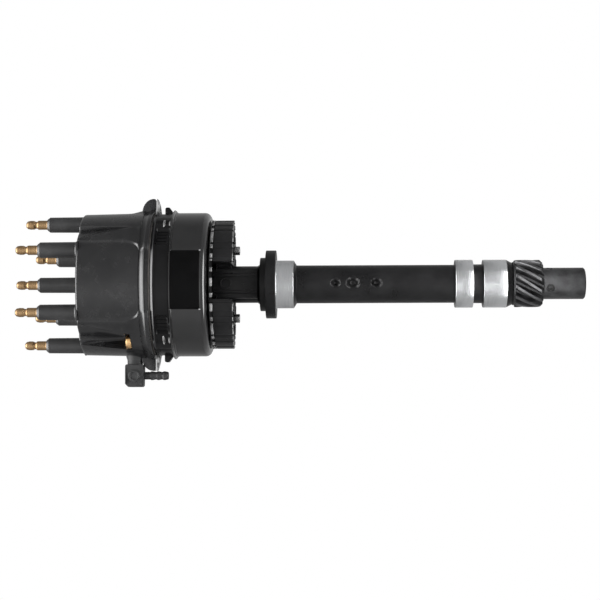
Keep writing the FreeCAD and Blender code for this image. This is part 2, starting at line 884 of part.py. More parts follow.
def vent_barb():
    """Hose barb under the elbow."""
    top = cap_foot + vent_height - vent_block_width / 2
    foot = top - vent_barb_length
    pitch = (vent_barb_length - vent_barb_shank_length) / vent_barb_count
    outline = [(vent_bore_radius, foot)]
    for index in range(vent_barb_count):
        low = foot + index * pitch
        outline.append((vent_barb_core_radius, low))
        outline.append((vent_barb_radius, low + 0.6 * pitch))
        outline.append((vent_barb_radius, low + 0.8 * pitch))
        outline.append((vent_barb_core_radius, low + 0.8 * pitch))
    outline.append((vent_barb_core_radius, top))
    outline.append((vent_bore_radius, top))
    return spun(outline, V(-vent_middle(), 0, 0))


def oil_slinger():
    """Thrown-oil disc on the shaft, above the sleeve."""
    low = sleeve_top + end_play
    return tube(slinger_radius, shaft_radius + press_gap, low, low + slinger_thickness)


def sensor_plate():
    """Round plate on the bowl's floor that carries the sensor."""
    top = plate_foot + sensor_plate_thickness
    plate = tube(sensor_plate_radius, sensor_plate_bore, plate_foot, top)
    holes = []
    for angle in base_screw_angles:
        centre = at(base_screw_circle, angle)
        holes.append(rod(base_screw_radius + press_gap, plate_foot - overrun, top + overrun, centre))
    for x, y in sensor_screw_places():
        holes.append(rod(sensor_screw_radius + press_gap, plate_foot - overrun, top + overrun, V(x, y, 0)))
    return plate.cut(holes)


def sensor_screw_places():
    """Centres of the two sensor screws, beside the sensor's body."""
    reach = sensor_width / 2 + sensor_lug / 2
    middle = vane_radius - vane_wall / 2
    return [(-reach, -middle), (reach, -middle)]


def hall_sensor():
    """Forked sensor whose slot the vanes pass through, with a screw lug each side."""
    low = plate_foot + sensor_plate_thickness
    middle = vane_radius - vane_wall / 2
    half_slot = vane_wall / 2 + sensor_gap
    half = sensor_width / 2
    inner_face = -middle + half_slot + sensor_arm
    outer_face = -middle - half_slot - sensor_arm
    top = wheel_foot - sensor_head_gap
    body = block(V(-half, outer_face, low), V(half, inner_face, top))
    slot_low = V(-half - overrun, -middle - half_slot, low + sensor_foot)
    slot = block(slot_low, V(half + overrun, -middle + half_slot, top + overrun))
    lug_half = half + sensor_lug
    lug_top = low + sensor_foot
    lug = block(V(-lug_half, -middle - half_slot, low), V(lug_half, -middle + half_slot, lug_top))
    holes = [slot]
    for x, y in sensor_screw_places():
        holes.append(rod(sensor_screw_radius + press_gap, low - overrun, lug_top + overrun, V(x, y, 0)))
    return body.fuse(lug).cut(holes)


def sensor_screw(x, y):
    """Small pan-head screw through the sensor's lug into the plate."""
    seat = plate_foot + sensor_plate_thickness + sensor_foot
    centre = V(x, y, 0)
    head = rod(sensor_screw_head_radius, seat, seat + sensor_screw_head_height, centre)
    return head.fuse(rod(sensor_screw_radius, plate_foot, seat, centre))


def trigger_wheel():
    """Disc with six hanging vanes, pressed on the shaft."""
    top = wheel_foot + wheel_disc_thickness
    disc = rod(vane_radius, wheel_foot, top)
    hub = rod(wheel_hub_radius, top - wheel_hub_height, top)
    vanes = []
    vane_foot = wheel_foot - vane_drop
    for angle in spaced(tower_count):
        vanes.append(sector(vane_radius - vane_wall, vane_radius, vane_foot, top, vane_half_angle, angle))
    wheel = disc.fuse([hub] + vanes)
    return wheel.cut(rod(shaft_radius + press_gap, top - wheel_hub_height - overrun, top + overrun))


def wheel_clip():
    """Retaining ring on the shaft over the trigger wheel."""
    low = wheel_foot + wheel_disc_thickness
    ring = tube(wheel_clip_radius, shaft_radius + press_gap, low, low + wheel_clip_thickness)
    high = low + wheel_clip_thickness + overrun
    gap = block(V(-shaft_radius / 2, 0, low - overrun), V(shaft_radius / 2, 2 * wheel_clip_radius, high))
    return ring.cut(gap)


def rotor_body():
    """Moulded rotor: base disc, column and the arm that carries the blade."""
    column = rod(rotor_column_radius, rotor_foot, rotor_top)
    disc = rod(rotor_base_radius, rotor_foot, rotor_foot + rotor_base_thickness)
    half = rotor_arm_width / 2
    arm_end = blade_reach - blade_width / 2
    arm_low = rotor_top - rotor_arm_thickness
    arm = block(V(-half, -arm_end, arm_low), V(half, 0, rotor_top))
    brace = Part.Face(Part.makePolygon([
        V(-half / 3, 0, rotor_foot + rotor_base_thickness),
        V(-half / 3, -rotor_base_radius + 2, rotor_foot + rotor_base_thickness),
        V(-half / 3, -arm_end + 4, arm_low),
        V(-half / 3, 0, arm_low),
        V(-half / 3, 0, rotor_foot + rotor_base_thickness),
    ])).extrude(V(2 * half / 3, 0, 0))
    body = column.fuse([disc, arm, brace])
    socket = rod(shaft_radius + press_gap, rotor_foot - overrun, rotor_foot + rotor_socket_depth)
    key = block(
        V(shaft_radius - rotor_key_depth + press_gap, -shaft_radius, rotor_foot - 2 * overrun),
        V(2 * shaft_radius, shaft_radius, rotor_foot + rotor_socket_depth + overrun),
    )
    return body.cut([socket.cut(key), rotor_screw_hole()])


def rotor_blade():
    """Brass blade from the middle of the rotor to its tip."""
    half = blade_width / 2
    bar = block(V(-half, -blade_reach - overrun, rotor_top), V(half, 0, blade_top))
    round_end = rod(half, rotor_top, blade_top)
    blade = bar.fuse(round_end).common(rod(blade_reach, rotor_top, blade_top))
    return blade.cut(rotor_screw_hole())


def contact_spring():
    """Leaf that carries the coil's current from the brush to the blade."""
    half = contact_width / 2
    low = blade_top
    foot_start = -rotor_screw_offset - 4
    bend = -contact_width
    high = contact_top - contact_thickness
    points = [
        (foot_start, low),
        (bend - contact_lift, low),
        (bend, high),
        (contact_width / 2, high),
        (contact_width / 2, contact_top),
        (bend - contact_thickness / 2, contact_top),
        (bend - contact_lift - contact_thickness / 2, low + contact_thickness),
        (foot_start, low + contact_thickness),
    ]
    wire = Part.makePolygon([V(-half, y, z) for y, z in points + points[:1]])
    leaf = Part.Face(wire).extrude(V(contact_width, 0, 0))
    return leaf.cut(rotor_screw_hole())


def rotor_screw_hole():
    """Hole for the screw through leaf, blade and arm."""
    low = rotor_top - rotor_arm_thickness - overrun
    return rod(rotor_screw_radius + press_gap, low, blade_top + overrun, V(0, -rotor_screw_offset, 0))


def rotor_screw():
    """Screw that clamps leaf and blade on the rotor's arm."""
    seat = blade_top + contact_thickness
    centre = V(0, -rotor_screw_offset, 0)
    head = rod(rotor_screw_head_radius, seat, seat + rotor_screw_head_height, centre)
    return head.fuse(rod(rotor_screw_radius, rotor_top - rotor_arm_thickness, seat, centre))


def carbon_brush():
    """Round-nosed brush under the coil tower."""
    top = brush_foot + brush_length
    nose = brush_radius / 3
    return spun([
        (0, brush_foot),
        (brush_radius - nose, brush_foot),
        (brush_radius, brush_foot + nose),
        (brush_radius, top),
        (0, top),
    ])


def brush_spring():
    """Coil spring between the brush and the coil terminal."""
    low = brush_foot + brush_length + press_gap + spring_wire_radius
    high = coil_stem_foot() - press_gap - spring_wire_radius
    path = Part.makeHelix((high - low) / spring_turns, high - low, spring_radius)
    path.translate(V(0, 0, low))
    start = V(spring_radius, 0, low)
    circle = Part.Wire(Part.makeCircle(spring_wire_radius, start, V(0, 1, 0)))
    return Part.Wire(path).makePipeShell([circle], True, True)


towers = spaced(tower_count, FULL_TURN / tower_count / 2)
export("housing", [housing()])
export("upper_bushing", [bushing(sleeve_top - seal_height - bushing_length)])
export("lower_bushing", [bushing(nose_foot)])
export("shaft_seal", [shaft_seal()])
export("bowl", [bowl()])
export("base_screws", [base_screw(angle) for angle in base_screw_angles])
export("adapter_ring", [adapter_ring()])
export("cap_gasket", [gasket()])
export("distributor_cap", [cap()])
export("cap_screws", [cap_screw(angle) for angle in cap_screw_angles])
for number, tower_angle in enumerate(towers, start=1):
    export("lead_terminal_" + str(number), [lead_terminal(tower_angle)])
export("coil_terminal", [terminal(coil_stem_foot(), coil_tower_top)])
export("vent_elbow", [vent_elbow()])
export("vent_plug", [vent_plug()])
export("vent_barb", [vent_barb()])
export("sensor_plate", [sensor_plate()])
export("hall_sensor", [hall_sensor()])
export("sensor_screws", [sensor_screw(x, y) for x, y in sensor_screw_places()])
export("main_shaft", [shaft_and_slot()])
export("drive_gear", [drive_gear()])
export("roll_pin", [roll_pin()])
export("thrust_washers", [thrust_washer(gear_top), thrust_washer(gear_top + thrust_washer_thickness)])
export("oil_slinger", [oil_slinger()])
export("trigger_wheel", [trigger_wheel()])
export("wheel_clip", [wheel_clip()])
export("rotor_body", [rotor_body()])
export("rotor_blade", [rotor_blade()])
export("contact_spring", [contact_spring()])
export("rotor_screw", [rotor_screw()])
export("carbon_brush", [carbon_brush()])
export("brush_spring", [brush_spring()])
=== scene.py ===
import math

import bmesh
import bpy
from bpy.props import FloatProperty, FloatVectorProperty, IntProperty, PointerProperty
from mathutils import Matrix, Vector


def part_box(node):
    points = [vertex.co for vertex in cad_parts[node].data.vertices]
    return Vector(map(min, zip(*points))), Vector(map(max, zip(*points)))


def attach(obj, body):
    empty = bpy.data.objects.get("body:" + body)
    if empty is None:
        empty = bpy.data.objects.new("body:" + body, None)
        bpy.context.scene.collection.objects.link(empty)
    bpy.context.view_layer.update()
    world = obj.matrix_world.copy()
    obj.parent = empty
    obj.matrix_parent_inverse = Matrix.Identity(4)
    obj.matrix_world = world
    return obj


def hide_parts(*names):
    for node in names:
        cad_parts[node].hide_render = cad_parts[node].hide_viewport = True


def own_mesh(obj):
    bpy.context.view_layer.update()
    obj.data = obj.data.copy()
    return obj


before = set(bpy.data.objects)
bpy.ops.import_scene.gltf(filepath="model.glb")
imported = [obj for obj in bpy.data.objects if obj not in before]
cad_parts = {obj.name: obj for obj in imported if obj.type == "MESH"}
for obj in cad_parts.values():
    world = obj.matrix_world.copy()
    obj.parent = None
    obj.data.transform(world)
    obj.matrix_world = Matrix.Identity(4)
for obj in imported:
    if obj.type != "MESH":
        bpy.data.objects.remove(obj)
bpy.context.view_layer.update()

# The looks of an ignition distributor. Metres, +Z up the shaft towards the cap.
# Angles are degrees about the shaft from the label side, which faces -Y, turning towards +X.

bl_info = {
    "name": "Ignition distributor",
    "version": (1, 0, 0),
    "blender": (4, 5, 0),
    "location": "3D View > Sidebar > Distributor",
    "description": "Builds the visible pieces of an ignition distributor around its CAD frame",
    "category": "Add Mesh",
}

MM = 0.001
TURN = 360.0
HOUSING_BODY = "housing_assembly"
ROTATING_BODY = "rotating_assembly"
UP = Vector((0.0, 0.0, 1.0))
FRONT = Vector((0.0, -1.0, 0.0))
BACK = Vector((0.0, 1.0, 0.0))
RIGHT = Vector((1.0, 0.0, 0.0))
SIDES = (-1.0, 1.0)


def low(node):
    """Lowest height of a CAD node."""
    return float(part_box(node)[0][2])


def high(node):
    """Highest height of a CAD node."""
    return float(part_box(node)[1][2])


def reach(node):
    """Largest distance of a CAD node's box from the shaft's axis, along Y."""
    return float(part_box(node)[1][1])


# Outlines and meshes


def at(radius, angle, height=0.0):
    """Point at a radius, an angle from the label side and a height."""
    turn = math.radians(angle)
    return Vector((radius * math.sin(turn), -radius * math.cos(turn), height))


def smoothstep(first, last, value):
    """Rises smoothly from 0 at first to 1 at last."""
    share = min(1.0, max(0.0, (value - first) / (last - first)))
    return share * share * (3.0 - 2.0 * share)


def mixed(first, second, share):
    """Value at a share of the way from first to second."""
    return first + (second - first) * share


def off_angle(angle, centre):
    """Signed difference between two angles, in degrees."""
    return (angle - centre + 180.0) % TURN - 180.0


def softened(outline, radius, steps=3, closed=False):
    """Outline with its corners rounded, so that every turned edge catches the light."""
    count = len(outline)
    result = []
    for index, corner in enumerate(outline):
        here = Vector(corner)
        if not closed and index in (0, count - 1):
            result.append(tuple(here))
            continue
        before = Vector(outline[index - 1]) - here
        after = Vector(outline[(index + 1) % count]) - here
        if before.length < 1e-7 or after.length < 1e-7:
            result.append(tuple(here))
            continue
        between = before.angle(after)
        if between > math.radians(165):
            result.append(tuple(here))
            continue
        cut = min(radius / math.tan(between / 2), before.length * 0.45, after.length * 0.45)
        start = here + before.normalized() * cut
        end = here + after.normalized() * cut
        for step in range(steps + 1):
            share = step / steps
            point = start * (1 - share) ** 2 + here * 2 * share * (1 - share) + end * share ** 2
            result.append(tuple(point))
    return result


def bend(centre, radius, first, last, steps=8):
    """Points of an arc in the outline's plane."""
    points = []
    for step in range(steps + 1):
        angle = math.radians(first + (last - first) * step / steps)
        points.append((centre[0] + radius * math.cos(angle), centre[1] + radius * math.sin(angle)))
    return points


def densified(outline, longest):
    """Outline with its long stretches divided."""
    result = [outline[0]]
    for index in range(1, len(outline)):
        start = Vector(outline[index - 1])
        end = Vector(outline[index])
        parts = max(1, math.ceil((end - start).length / longest))
        for part in range(1, parts + 1):
            result.append(tuple(start.lerp(end, part / parts)))
    return result


def finish_mesh(form, name, sharp_angle=35.0):
    """Turn a bmesh into an object with smooth faces and sharp corners."""
    bmesh.ops.remove_doubles(form, verts=form.verts, dist=1e-7)
    bmesh.ops.recalc_face_normals(form, faces=form.faces)
    limit = math.radians(sharp_angle)
    for face in form.faces:
        face.smooth = True
    for edge in form.edges:
        edge.smooth = len(edge.link_faces) == 2 and edge.calc_face_angle() < limit
    mesh = bpy.data.meshes.new(name)
    form.to_mesh(mesh)
    form.free()
    piece = bpy.data.objects.new(name, mesh)
    bpy.context.collection.objects.link(piece)
    return piece


def stitch(form, rows, material=0):
    """Add the faces between closed rows of vertices, where a row of one vertex is a tip."""
    for lower, upper in zip(rows, rows[1:]):
        count = max(len(lower), len(upper))
        for index in range(count if count > 1 else 0):
            following = (index + 1) % count
            if len(lower) == 1:
                corners = [lower[0], upper[following], upper[index]]
            elif len(upper) == 1:
                corners = [lower[index], lower[following], upper[0]]
            else:
                corners = [lower[index], lower[following], upper[following], upper[index]]
            form.faces.new(corners).material_index = material


def close_ends(form, rows):
    """Close the first and the last row with a face."""
    form.faces.new(rows[0])
    form.faces.new(list(reversed(rows[-1])))


def add_lathe(form, outline, segments=128, warp=None, centre=(0.0, 0.0), closed=True, material=0):
    """Turn an outline of (radius, height) points about an upright axis into a bmesh."""
    rows = []
    for radius, height in outline:
        if radius < 1e-7 and warp is None:
            rows.append([form.verts.new((centre[0], centre[1], height))])
            continue
        row = []
        for index in range(segments):
            angle = TURN * index / segments
            out, up = (radius, height) if warp is None else warp(angle, radius, height)
            place = at(out, angle, up)
            row.append(form.verts.new((place.x + centre[0], place.y + centre[1], place.z)))
        rows.append(row)
    stitch(form, rows + rows[:1] if closed else rows, material)


def lathe(name, outline, segments=128, warp=None, centre=(0.0, 0.0)):
    """Turned object from one closed outline."""
    form = bmesh.new()
    add_lathe(form, outline, segments, warp, centre)
    return finish_mesh(form, name)


def add_prism(form, corners, depth, origin, along, up, out):
    """Straight prism from corners in the (along, up) plane, grown along out."""
    near = [form.verts.new(origin + along * a + up * b) for a, b in corners]
    far = [form.verts.new(vert.co + out * depth) for vert in near]
    stitch(form, [near, far])
    close_ends(form, [near, far])


def add_block(form, lowest, highest, bevel=0.0):
    """Box between two corners, with its edges rounded."""
    part = bmesh.new()
    origin = Vector(lowest)
    size = Vector(highest) - origin
    corners = [(0, 0), (size.x, 0), (size.x, size.y), (0, size.y)]
    add_prism(part, corners, size.z, origin, RIGHT, BACK, UP)
    merge(form, part, bevel)


def add_side_block(form, side, inner, outer, front, back, foot, top, bevel):
    """Rounded box at one side, between two distances from the middle."""
    near, far = sorted((side * inner, side * outer))
    add_block(form, (near, front, foot), (far, back, top), bevel)


def merge(form, part, bevel=0.0, segments=2):
    """Round the edges of a part and add it to a bmesh."""
    bmesh.ops.recalc_face_normals(part, faces=part.faces)
    if bevel > 0.0:
        sharp = [edge for edge in part.edges if edge.calc_face_angle(0.0) > math.radians(25)]
        bmesh.ops.bevel(part, geom=sharp, offset=bevel, segments=segments, profile=0.5, affect="EDGES",
                        clamp_overlap=True)
    mesh = bpy.data.meshes.new("part")
    part.to_mesh(mesh)
    part.free()
    form.from_mesh(mesh)
    bpy.data.meshes.remove(mesh)


def settle(piece, body, slot, material, *nodes):
    """Give a finished piece its material and body, and hide the CAD nodes that it stands for; the slot is not
    used.
    """
    for entry in material if isinstance(material, list) else [material]:
        piece.data.materials.append(entry)
    if nodes:
        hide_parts(*nodes)
    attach(piece, body)
    return piece


# Node trees, and the shader groups that the materials share. Every group is made once and then found by name.


def add_node(tree, kind, mode=None, **values):
    """Add a node of a kind, with its operation or data type, and its inputs set by name."""
    node = tree.nodes.new(kind)
    if mode is not None:
        setattr(node, "data_type" if kind == "ShaderNodeMix" else "operation", mode)
    set_inputs(node, values)
    return node


def set_inputs(node, values):
    """Set a node's inputs from their names, which have a low line for a space."""
    for name, value in values.items():
        node.inputs[name.replace("_", " ")].default_value = value


def wire(tree, *joins):
    """Link nodes, each link as (from node, output, to node, input)."""
    for source, output, target, entry in joins:
        tree.links.new(source.outputs[output], target.inputs[entry])


def start_group(name, tree_kind, takes, gives):
    """New node group with its end nodes; its sockets come as (name, kind, default)."""
    group = bpy.data.node_groups.new(name, tree_kind)
    for side, sockets in (("INPUT", takes), ("OUTPUT", gives)):
        for label, kind, default in sockets:
            socket = group.interface.new_socket(name=label, in_out=side, socket_type="NodeSocket" + kind)
            if default is not None:
                socket.default_value = default
    return group, add_node(group, "NodeGroupInput"), add_node(group, "NodeGroupOutput")


def start_shader_group(name, takes, gives):
    """New shader group whose sockets are all numbers: takes has their defaults, gives their names."""
    inputs = [(label, "Float", default) for label, default in takes.items()]
    outputs = [(label, "Float", None) for label in gives]
    return start_group(name, "ShaderNodeTree", inputs, outputs)


def grain_group():
    """Fine grain of a cast, painted or moulded skin: a mask and a height."""
    if "Skin Grain" in bpy.data.node_groups:
        return bpy.data.node_groups["Skin Grain"]
    takes = {"Scale": 900.0, "Patch Scale": 40.0}
    group, inputs, outputs = start_shader_group("Skin Grain", takes, ["Mask", "Height"])
    place = add_node(group, "ShaderNodeTexCoord")
    fine = add_node(group, "ShaderNodeTexNoise", Detail=3.0, Roughness=0.6)
    patch = add_node(group, "ShaderNodeTexNoise", Detail=4.0, Roughness=0.55)
    spread = add_node(group, "ShaderNodeMapRange", From_Min=0.35, From_Max=0.68)
    wire(group, (place, "Object", fine, "Vector"), (place, "Object", patch, "Vector"),
         (inputs, "Scale", fine, "Scale"), (inputs, "Patch Scale", patch, "Scale"),
         (patch, "Fac", spread, "Value"), (spread, "Result", outputs, "Mask"),
         (fine, "Fac", outputs, "Height"))
    return group


def turning_group():
    """Fine rings left by a lathe: grooves about the shaft's axis, as a mask and a height."""
    if "Turning Marks" in bpy.data.node_groups:
        return bpy.data.node_groups["Turning Marks"]
    group, inputs, outputs = start_shader_group("Turning Marks", {"Pitch": 4200.0}, ["Mask", "Height"])
    place = add_node(group, "ShaderNodeTexCoord")
    parts = add_node(group, "ShaderNodeSeparateXYZ")
    around = add_node(group, "ShaderNodeMath", "MULTIPLY")
    around.inputs[1].default_value = 0.02
    flat = add_node(group, "ShaderNodeCombineXYZ")
    rings = add_node(group, "ShaderNodeTexNoise", Detail=2.0, Roughness=0.7)
    spread = add_node(group, "ShaderNodeMapRange", From_Min=0.3, From_Max=0.7)
    wire(group, (place, "Object", parts, "Vector"), (parts, "X", around, 0), (around, 0, flat, "X"),
         (parts, "Z", flat, "Z"), (flat, "Vector", rings, "Vector"), (inputs, "Pitch", rings, "Scale"),
         (rings, "Fac", spread, "Value"), (spread, "Result", outputs, "Mask"),
         (rings, "Fac", outputs, "Height"))
    return group


def dust_group():
    """Pale dust that settles in patches, as a mask."""
    if "Settled Dust" in bpy.data.node_groups:
        return bpy.data.node_groups["Settled Dust"]
    group, inputs, outputs = start_shader_group("Settled Dust", {"Scale": 120.0, "Amount": 0.1}, ["Mask"])
    place = add_node(group, "ShaderNodeTexCoord")
    specks = add_node(group, "ShaderNodeTexNoise", Detail=6.0, Roughness=0.75)
    cut = add_node(group, "ShaderNodeMapRange", From_Min=0.55, From_Max=0.8)
    scaled = add_node(group, "ShaderNodeMath", "MULTIPLY")
    wire(group, (place, "Object", specks, "Vector"), (inputs, "Scale", specks, "Scale"),
         (specks, "Fac", cut, "Value"), (cut, "Result", scaled, 0), (inputs, "Amount", scaled, 1),
         (scaled, 0, outputs, "Mask"))
    return group


# Materials


def grey(value, tint=0.0):
    """Grey of one brightness; a tint makes its blue stronger by that share."""
    return (value, value, value * (1.0 + tint))


def start_material(name):
    """New material, its node tree and its shader."""
    material = bpy.data.materials.new(name)
    material.use_nodes = True
    return material, material.node_tree, material.node_tree.nodes["Principled BSDF"]


def place_group(tree, group, **values):
    """Place a node group with its own values."""
    node = add_node(tree, "ShaderNodeGroup")
    node.node_tree = group
    set_inputs(node, values)
    return node


def blend_by_mask(tree, mask, shader, dark, light, rough):
    """Let a mask run the shader's colour and roughness, and give the node of the colour."""
    color = add_node(tree, "ShaderNodeMix", "RGBA", A=(*dark, 1.0), B=(*light, 1.0))
    gloss = add_node(tree, "ShaderNodeMapRange", To_Min=rough[0], To_Max=rough[1])
    wire(tree, (mask, "Mask", color, "Factor"), (color, "Result", shader, "Base Color"),
         (mask, "Mask", gloss, "Value"), (gloss, "Result", shader, "Roughness"))
    return color


def add_bump(tree, source, shader, strength, distance):
    """Bump from a group's height into the shader's normal."""
    bump = add_node(tree, "ShaderNodeBump", Strength=strength, Distance=distance)
    wire(tree, (source, "Height", bump, "Height"), (bump, "Normal", shader, "Normal"))


def skin_material(name, dark, light, rough, metallic=0.0, grain=900.0, patch=40.0, strength=0.25,
                  distance=0.0001, dust=0.0, gloss=0.5):
    """Painted, cast or moulded skin: patchy colour and gloss over a fine grain."""
    material, tree, shader = start_material(name)
    skin = place_group(tree, grain_group(), Scale=grain, Patch_Scale=patch)
    color = blend_by_mask(tree, skin, shader, dark, light, rough)
    if dust > 0.0:
        settled = place_group(tree, dust_group(), Amount=dust)
        over = add_node(tree, "ShaderNodeMix", "RGBA", B=(*grey(0.3), 1.0))
        wire(tree, (color, "Result", over, "A"), (settled, "Mask", over, "Factor"),
             (over, "Result", shader, "Base Color"))
    set_inputs(shader, {"Metallic": metallic, "Specular IOR Level": gloss})
    add_bump(tree, skin, shader, strength, distance)
    return material


def turned_material(name, dark, light, rough, pitch=4200.0, strength=0.3):
    """Lathe-turned metal with fine rings."""
    material, tree, shader = start_material(name)
    rings = place_group(tree, turning_group(), Pitch=pitch)
    blend_by_mask(tree, rings, shader, dark, light, rough)
    set_inputs(shader, {"Metallic": 1.0})
    add_bump(tree, rings, shader, strength, 0.00005)
    return material


def cast_black():
    """Satin black paint on the casting."""
    return skin_material("Cast Black", grey(0.004, 0.05), grey(0.0085, 0.05), (0.27, 0.4), grain=1400.0,
                         patch=60.0, strength=0.35, distance=0.00012, gloss=0.17)


def rubbed_black():
    """Pale paint on the ends of the ring's ribs, and on the adapter's boss spots and ears: a painted
    highlight where their rounded edges catch the light.
    """
    return skin_material("Painted Highlight Black", grey(0.04), grey(0.3), (0.3, 0.45), grain=1600.0, patch=260.0,
                         strength=0.3)


def can_black():
    """Gloss black lacquer on the bowl."""
    return skin_material("Can Black", grey(0.003, 0.05), grey(0.006, 0.05), (0.1, 0.15), grain=500.0,
                         patch=35.0, strength=0.06, gloss=0.7)


def cap_black():
    """Gloss black moulding, a little cloudy."""
    return skin_material("Cap Black", grey(0.006, 0.08), grey(0.012, 0.04), (0.2, 0.3), grain=700.0,
                         patch=45.0, strength=0.1, dust=0.05, gloss=0.42)


def tower_black():
    """Satin black of the lead towers."""
    return skin_material("Tower Black", grey(0.009, 0.05), grey(0.018, 0.03), (0.34, 0.46), patch=60.0,
                         strength=0.15)


def adapter_black():
    """Matt black moulding of the adapter ring."""
    return skin_material("Adapter Black", grey(0.002, 0.1), grey(0.004, 0.1), (0.26, 0.38), grain=1300.0,
                         patch=70.0, strength=0.3, gloss=0.18)


def label_black():
    """Flat black place of the label, left bare."""
    return skin_material("Label Black", grey(0.0014, 0.05), grey(0.0022, 0.05), (0.3, 0.34), grain=2500.0,
                         patch=90.0, strength=0.08, distance=0.00005, gloss=0.05)


def pip_grey():
    """Pale worn pips at the label's corners."""
    return skin_material("Pip Grey", grey(0.16), grey(0.3), (0.3, 0.45), grain=2500.0, patch=90.0,
                         strength=0.08, distance=0.00005)


def gasket_grey():
    """Dark sheet gasket."""
    return skin_material("Gasket Grey", (0.03, 0.028, 0.025), (0.06, 0.055, 0.05), (0.7, 0.85), grain=2600.0,
                         patch=200.0, strength=0.5)


def vent_grey():
    """Matt dark grey moulding of the vent."""
    return skin_material("Vent Grey", (0.006, 0.0063, 0.0066), (0.012, 0.0125, 0.0132), (0.55, 0.68),
                         grain=1800.0, patch=120.0, strength=0.35)


def pilot_aluminium():
    """Bare turned aluminium of the pilots."""
    return turned_material("Pilot Aluminium", (0.49, 0.5, 0.51), (0.67, 0.68, 0.69), (0.15, 0.25), 5200.0)


def shaft_steel():
    """Ground steel."""
    return turned_material("Shaft Steel", grey(0.38, 0.03), grey(0.5, 0.02), (0.22, 0.34), 6500.0, 0.2)


def terminal_brass():
    """Turned brass, slightly dulled."""
    return turned_material("Terminal Brass", (0.26, 0.16, 0.08), (0.42, 0.28, 0.15), (0.26, 0.42), 3800.0)


def gear_steel():
    """Dark phosphated steel of the gear."""
    return skin_material("Gear Steel", grey(0.02, 0.05), grey(0.04, 0.03), (0.34, 0.5), metallic=0.75,
                         grain=1800.0, patch=140.0, strength=0.35)


def land_steel():
    """Lighter rubbed steel on the tooth lands."""
    return skin_material("Land Steel", grey(0.06, 0.03), grey(0.12, 0.03), (0.3, 0.42), metallic=0.9,
                         grain=1800.0, patch=200.0, strength=0.2)


def hub_steel():
    """Mottled grey phosphate on the gear's hub."""
    return skin_material("Hub Steel", grey(0.035, 0.03), grey(0.08, 0.03), (0.32, 0.48), metallic=0.8,
                         grain=2200.0, patch=170.0, strength=0.4)


def screw_steel():
    """Dark zinc plate."""
    return skin_material("Screw Steel", grey(0.2), grey(0.3), (0.34, 0.46), metallic=1.0, grain=1500.0,
                         patch=200.0, strength=0.15)


def screw_gold():
    """Yellow zinc plate of the cap screws."""
    return skin_material("Screw Gold", (0.66, 0.4, 0.17), (0.9, 0.6, 0.32), (0.24, 0.38), metallic=1.0,
                         patch=160.0, strength=0.12)


def sheet_steel():
    """Bright zinc plated sheet."""
    return skin_material("Sheet Steel", grey(0.5, 0.02), grey(0.66, 0.015), (0.3, 0.42), metallic=1.0,
                         grain=1200.0, patch=120.0, strength=0.12)


def bush_bronze():
    """Oiled sintered bronze."""
    return skin_material("Bush Bronze", (0.3, 0.17, 0.07), (0.42, 0.26, 0.11), (0.4, 0.55), metallic=1.0,
                         grain=3000.0, patch=200.0, strength=0.4)


def seal_rubber():
    """Matt black rubber."""
    return skin_material("Seal Rubber", grey(0.012), grey(0.02), (0.6, 0.75), grain=1500.0, patch=90.0)


def sensor_plastic():
    """Matt black moulding of the sensor."""
    return skin_material("Sensor Plastic", grey(0.02, 0.1), grey(0.035, 0.09), (0.45, 0.6), grain=1500.0,
                         patch=90.0)


def rotor_plastic():
    """Dark red-brown moulding of the rotor."""
    return skin_material("Rotor Plastic", (0.06, 0.014, 0.01), (0.09, 0.022, 0.016), (0.3, 0.42), patch=70.0,
                         strength=0.15)


def brush_carbon():
    """Pressed carbon."""
    return skin_material("Brush Carbon", grey(0.02), grey(0.045), (0.5, 0.65), metallic=0.2, grain=3500.0,
                         patch=250.0, strength=0.4)


# Copies made with Geometry Nodes


def radial_copies_group():
    """Geometry Nodes group that sets copies of one object about the shaft's axis."""
    if "Radial Copies" in bpy.data.node_groups:
        return bpy.data.node_groups["Radial Copies"]
    takes = [("Source", "Object", None), ("Count", "Int", 6), ("First Angle", "Float", 0.0),
             ("Step Angle", "Float", 60.0)]
    gives = [("Geometry", "Geometry", None)]
    group, inputs, outputs = start_group("Radial Copies", "GeometryNodeTree", takes, gives)
    points = add_node(group, "GeometryNodePoints")
    index = add_node(group, "GeometryNodeInputIndex")
    steps = add_node(group, "ShaderNodeMath", "MULTIPLY_ADD")
    turn = add_node(group, "ShaderNodeMath", "RADIANS")
    euler = add_node(group, "ShaderNodeCombineXYZ")
    source = add_node(group, "GeometryNodeObjectInfo")
    copies = add_node(group, "GeometryNodeInstanceOnPoints")
    real = add_node(group, "GeometryNodeRealizeInstances")
    wire(group,
         (inputs, "Count", points, "Count"), (index, "Index", steps, 0), (inputs, "Step Angle", steps, 1),
         (inputs, "First Angle", steps, 2), (steps, 0, turn, 0), (turn, 0, euler, "Z"),
         (inputs, "Source", source, "Object"), (points, "Points", copies, "Points"),
         (source, "Geometry", copies, "Instance"), (euler, "Vector", copies, "Rotation"),
         (copies, "Instances", real, "Geometry"), (real, "Geometry", outputs, "Geometry"))
    return group


def add_copies(form, source_form, count=1, first=0.0, material=0):
    """Add copies of a small form, evenly set about the shaft's axis by Geometry Nodes, to a bmesh."""
    source = finish_mesh(source_form, "copy_source")
    host = bpy.data.objects.new("copies", bpy.data.meshes.new("copies"))
    bpy.context.collection.objects.link(host)
    modifier = host.modifiers.new("Radial Copies", "NODES")
    modifier.node_group = radial_copies_group()
    values = {"Source": source, "Count": count, "First Angle": first, "Step Angle": TURN / count}
    for item in modifier.node_group.interface.items_tree:
        if item.in_out == "INPUT":
            modifier[item.identifier] = values[item.name]
    graph = bpy.context.evaluated_depsgraph_get()
    copies = bpy.data.meshes.new_from_object(host.evaluated_get(graph), depsgraph=graph)
    before = len(form.faces)
    form.from_mesh(copies)
    form.faces.ensure_lookup_table()
    for face in form.faces[before:]:
        face.material_index = material
    leftovers = [copies, source.data, host.data]
    bpy.data.objects.remove(source)
    bpy.data.objects.remove(host)
    for mesh in leftovers:
        bpy.data.meshes.remove(mesh)


